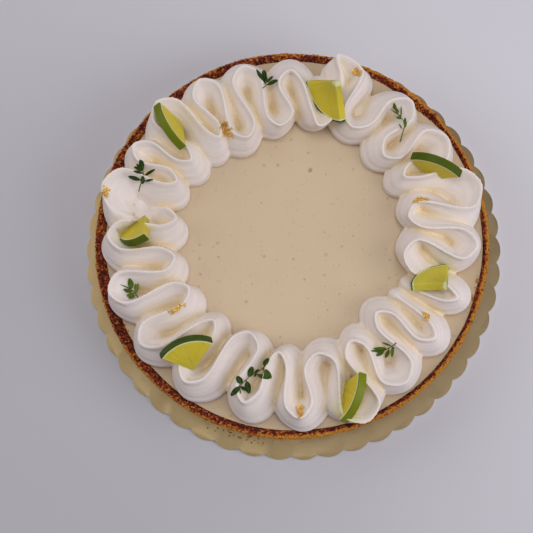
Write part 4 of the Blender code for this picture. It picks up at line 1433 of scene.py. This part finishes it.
class PIE_OT_thyme(bpy.types.Operator):
    """Adds the thyme: stems drawn over the cream, and folded leaves along them"""

    bl_idname = "pie.thyme"
    bl_label = "Thyme sprigs"

    def execute(self, context):
        sizes = context.scene.pie_sizes
        material = thyme_material(context.scene.pie_colours)
        tree = surface_tree(bpy.data.objects["cream_ring"])
        pattern = thyme_leaf()
        for number, (tone, stem, leaves) in enumerate(SPRIGS, 1):
            draw = random.Random(60 + number)
            heights = [ground(tree, x, y) for x, y in stem]
            lifted = [max(heights[max(i - 1, 0):i + 2]) + STEM_CLEARANCE for i in range(len(stem))]
            line = smooth_line([Vector((x, y, z)) for (x, y), z in zip(stem, lifted)], 4)
            parts = [self.stem(f"stem_{number}", line, sizes.stem_radius / MM)]
            for leaf_number, (x0, y0, x1, y1, half_width) in enumerate(leaves):
                near = min(line, key=lambda spot: (spot.x - x0) ** 2 + (spot.y - y0) ** 2)
                leaf = copied(f"leaf_{number}_{leaf_number}", pattern)
                points = points_of(leaf) * MM
                base = Vector((x0, y0, near.z + 0.05 * leaf_number))
                way = Vector((x1 - x0, y1 - y0, 0.0))
                side = Vector((-way.y, way.x, 0.0)).normalized()
                rise = draw.uniform(-0.4, 1.6)
                fold = draw.uniform(0.25, 0.55)
                curl = draw.uniform(-0.7, 0.4)
                placed = np.empty_like(points)
                for index, (along, across, _) in enumerate(points):
                    blade = (along - LEAF_STALK) / (1.0 - LEAF_STALK)
                    if blade < 0.0:
                        spot = near.lerp(base, along / LEAF_STALK)
                    else:
                        spot = base + way * blade
                        spot.z += rise * blade + curl * blade * blade
                    spot += side * (across * half_width)
                    spot.z += abs(across) * half_width * fold
                    spot.z = max(spot.z, ground(tree, spot.x, spot.y) + LEAF_CLEARANCE)
                    placed[index] = spot
                move_points(leaf, placed)
                apply_modifier(leaf, "SOLIDIFY", thickness=LEAF_THICKNESS * MM, offset=0.0)
                shade = min(1.0, max(0.0, tone + draw.uniform(-0.2, 0.25)))
                store(leaf, "tone", np.full(len(leaf.data.vertices), shade))
                parts.append(leaf)
            sprig = joined(f"thyme_sprig_{number}", parts)
            finish_piece(sprig, material, (f"thyme_{number}",), 60.0)
        bpy.data.objects.remove(pattern, do_unlink=True)
        return {"FINISHED"}

    @staticmethod
    def stem(name, line, radius):
        """A round stem along the line, thinner toward its end."""
        points = []
        around = 8
        for index, spot in enumerate(line):
            along = (line[min(index + 1, len(line) - 1)] - line[max(index - 1, 0)]).normalized()
            side = along.cross(Vector((0.0, 0.0, 1.0))).normalized()
            up = side.cross(along)
            thin = radius * (1.0 - 0.45 * index / (len(line) - 1))
            for step in range(around):
                turn = math.tau * step / around
                points.append(spot + side * thin * math.cos(turn) + up * thin * math.sin(turn))
        stem = object_from(name, points, rings_to_faces(len(line), around))
        share = np.repeat(np.linspace(0.0, 1.0, len(line)), around)
        store(stem, "leaf", np.stack([share, share * 0, share * 0 + 1.0], 1), "FLOAT_VECTOR")
        store(stem, "tone", share * 0 + 0.5)
        return stem


# --- Gold leaf ---


class PIE_OT_gold(bpy.types.Operator):
    """Adds the gold leaf: clusters of crumpled shards that lie on the cream"""

    bl_idname = "pie.gold_leaf"
    bl_label = "Gold leaf"

    def execute(self, context):
        tree = surface_tree(bpy.data.objects["cream_ring"])
        draw = random.Random(23)
        parts = []
        for x, y, heading, long, wide in GOLD_CLUSTERS:
            along = polar(heading, 1.0)
            across = polar(heading + 90.0, 1.0)
            for _ in range(int(10 + long * 2.0)):
                middle = Vector((x, y, 0.0)) + along * draw.uniform(-0.5, 0.5) * long
                middle += across * draw.gauss(0.0, 0.45) * wide
                size = draw.uniform(0.6, 1.4)
                flake = new_piece(
                    "gold_shard", bpy.ops.mesh.primitive_grid_add, x_subdivisions=4, y_subdivisions=4,
                    size=2.0,
                )
                points = points_of(flake) * MM
                turn = draw.uniform(0.0, math.tau)
                tilt_x = draw.uniform(-1.0, 1.0)
                tilt_y = draw.uniform(-1.0, 1.0)
                placed = np.empty_like(points)
                for index, (u, v, _) in enumerate(points):
                    u = u * size * draw.uniform(0.6, 1.1)
                    v = v * size * 0.55 * draw.uniform(0.5, 1.2)
                    px = middle.x + u * math.cos(turn) - v * math.sin(turn)
                    py = middle.y + u * math.sin(turn) + v * math.cos(turn)
                    floor = ground(tree, px, py)
                    lift = 0.8 + u * tilt_x + v * tilt_y + draw.uniform(-0.2, 0.3)
                    placed[index] = (px, py, floor + max(SHARD_CLEARANCE, lift))
                move_points(flake, placed)
                apply_modifier(flake, "SOLIDIFY", thickness=SHARD_THICKNESS * MM, offset=0.0)
                parts.append(flake)
        gold = joined("gold_leaf", parts)
        finish_piece(gold, gold_leaf_material(context.scene.pie_colours), ("cream",), 20.0)
        return {"FINISHED"}


# --- Crumbs ---

NEAR_CRUMBS = 46  # on the near left of the card
ROUND_CRUMBS = 26  # all round the card
CHUNK_CRUMBS = 16  # at each thick stretch of the rim


class PIE_OT_crumbs(bpy.types.Operator):
    """Adds loose crumbs on the card round the crust and along its inner edge"""

    bl_idname = "pie.crumbs"
    bl_label = "Loose crumbs"

    def execute(self, context):
        sizes = context.scene.pie_sizes
        draw = random.Random(31)
        card_top = sizes.card_thickness / MM
        fill_top = sizes.filling_top / MM
        spots = []
        for _ in range(NEAR_CRUMBS):
            degrees = draw.gauss(254.0, 6.0)
            spots.append((degrees, draw.uniform(115.5, 119.5), card_top, draw.uniform(0.2, 0.5)))
        for _ in range(ROUND_CRUMBS):
            degrees = draw.uniform(0.0, 360.0)
            spots.append((degrees, draw.uniform(114.8, 121.0), card_top, draw.uniform(0.15, 0.4)))
        for middle, spread, _ in CRUST_CHUNKS:
            for _ in range(CHUNK_CRUMBS):
                degrees = draw.gauss(middle, spread * 0.6)
                spots.append((degrees, draw.uniform(108.9, 110.3), fill_top, draw.uniform(0.3, 0.75)))
        parts = []
        for degrees, radius, height, size in spots:
            spot = polar(degrees, radius, height + size * 0.5)
            crumb = new_piece(
                "crumb", bpy.ops.mesh.primitive_ico_sphere_add, subdivisions=2, radius=size * MM,
                location=spot * MM,
            )
            points = points_of(crumb)
            stretch = np.array([draw.uniform(0.7, 1.4), draw.uniform(0.7, 1.4), draw.uniform(0.5, 0.9)])
            rough = np.array([draw.uniform(0.75, 1.2) for _ in range(len(points))])
            move_points(crumb, points * stretch * rough[:, None])
            parts.append(crumb)
        crumbs = joined("loose_crumbs", parts)
        put_in_mesh(crumbs)
        crumb = bpy.data.objects["crust_wall"].data.materials[0]
        finish_piece(crumbs, crumb, (), 80.0)
        return {"FINISHED"}


# --- Stage ---


def aim(thing, place, target):
    """Points a light at the target, or a camera with its top toward +Y."""
    forward = (Vector(target) - Vector(place)).normalized()
    right = forward.cross(Vector((0.0, 1.0, 0.0))).normalized()
    thing.matrix_world = pose_of((right, right.cross(forward), -forward), place)


TABLE_RADIUS = 3.0
TABLE_DROP = 0.0002  # keeps the table clear of the card's underside
CAMERA_PLACE = Vector((4.68, -120.58, 592.97)) * MM
CAMERA_TARGET = Vector((-15.74, -10.59, 2.0)) * MM
CAMERA_LENS = 66.28
CAMERA_SENSOR = 36.0
# Each light's name, place and width in metres, power in watts and tint
STUDIO_LIGHTS = (
    ("window", (0.72, -0.29, 0.55), 0.7, 4.0, (0.98, 0.96, 1.0)),
    ("overhead", (0.05, 0.05, 1.5), 1.0, 8.2, (0.97, 0.97, 1.0)),
    ("left_fill", (-0.96, 0.2, 0.69), 0.8, 3.2, (1.0, 0.95, 0.93)),
    ("back_fill", (0.1, 0.98, 0.69), 0.8, 1.7, (1.0, 0.95, 0.9)),
)
ROOM_TINT = (0.95, 0.93, 1.0)
ROOM_STRENGTH = 0.14
LIGHT_TARGET = (0.0, 0.0, 0.02)


def soft_light(name, place, width, power, tint):
    data = bpy.data.lights.new(name, "AREA")
    data.shape = "DISK"
    data.size = width
    data.energy = power
    data.color = tint
    light = bpy.data.objects.new(name, data)
    bpy.context.scene.collection.objects.link(light)
    aim(light, place, LIGHT_TARGET)


class PIE_OT_stage(bpy.types.Operator):
    """Adds the pale table, the soft light and the camera"""

    bl_idname = "pie.stage"
    bl_label = "Table, light and camera"

    def execute(self, context):
        scene = context.scene
        table = new_piece(
            "table", bpy.ops.mesh.primitive_circle_add, vertices=96, radius=TABLE_RADIUS, fill_type="NGON",
            location=(0.0, 0.0, -TABLE_DROP),
        )
        put_in_mesh(table)
        table.data.materials.append(table_material(scene.pie_colours))
        for light in STUDIO_LIGHTS:
            soft_light(*light)
        world = bpy.data.worlds.new("soft_room")
        world.use_nodes = True
        room = world.node_tree.nodes["Background"]
        room.inputs["Color"].default_value = (*ROOM_TINT, 1.0)
        room.inputs["Strength"].default_value = ROOM_STRENGTH
        scene.world = world
        scene.view_settings.view_transform = "Standard"
        data = bpy.data.cameras.new("camera")
        data.lens = CAMERA_LENS
        data.sensor_width = CAMERA_SENSOR
        camera = bpy.data.objects.new("camera", data)
        scene.collection.objects.link(camera)
        aim(camera, CAMERA_PLACE, CAMERA_TARGET)
        scene.camera = camera
        return {"FINISHED"}


# --- Panel and registration ---

PIECES = (
    PIE_OT_card,
    PIE_OT_crust,
    PIE_OT_filling,
    PIE_OT_cream,
    PIE_OT_limes,
    PIE_OT_thyme,
    PIE_OT_gold,
    PIE_OT_crumbs,
    PIE_OT_stage,
)


class VIEW3D_PT_pie(bpy.types.Panel):
    """The pie's pieces, in the order in which they are built"""

    bl_idname = "VIEW3D_PT_pie"
    bl_label = "Key lime pie"
    bl_space_type = "VIEW_3D"
    bl_region_type = "UI"
    bl_category = "Pie"

    def draw(self, context):
        for piece in PIECES:
            self.layout.operator(piece.bl_idname)
        for name in ("pie_sizes", "pie_colours"):
            group = getattr(context.scene, name)
            for key in group.__annotations__:
                self.layout.prop(group, key)


CLASSES = (PieSizes, PieColours, *PIECES, VIEW3D_PT_pie)


def register():
    for item in CLASSES:
        bpy.utils.register_class(item)
    bpy.types.Scene.pie_sizes = PointerProperty(type=PieSizes)
    bpy.types.Scene.pie_colours = PointerProperty(type=PieColours)


def unregister():
    del bpy.types.Scene.pie_colours
    del bpy.types.Scene.pie_sizes
    for item in reversed(CLASSES):
        bpy.utils.unregister_class(item)


def main():
    register()
    bpy.ops.pie.card()
    bpy.ops.pie.crust()
    bpy.ops.pie.filling()
    bpy.ops.pie.cream()
    bpy.ops.pie.limes()
    bpy.ops.pie.thyme()
    bpy.ops.pie.gold_leaf()
    bpy.ops.pie.crumbs()
    bpy.ops.pie.stage()


if __name__ == "__main__":
    main()
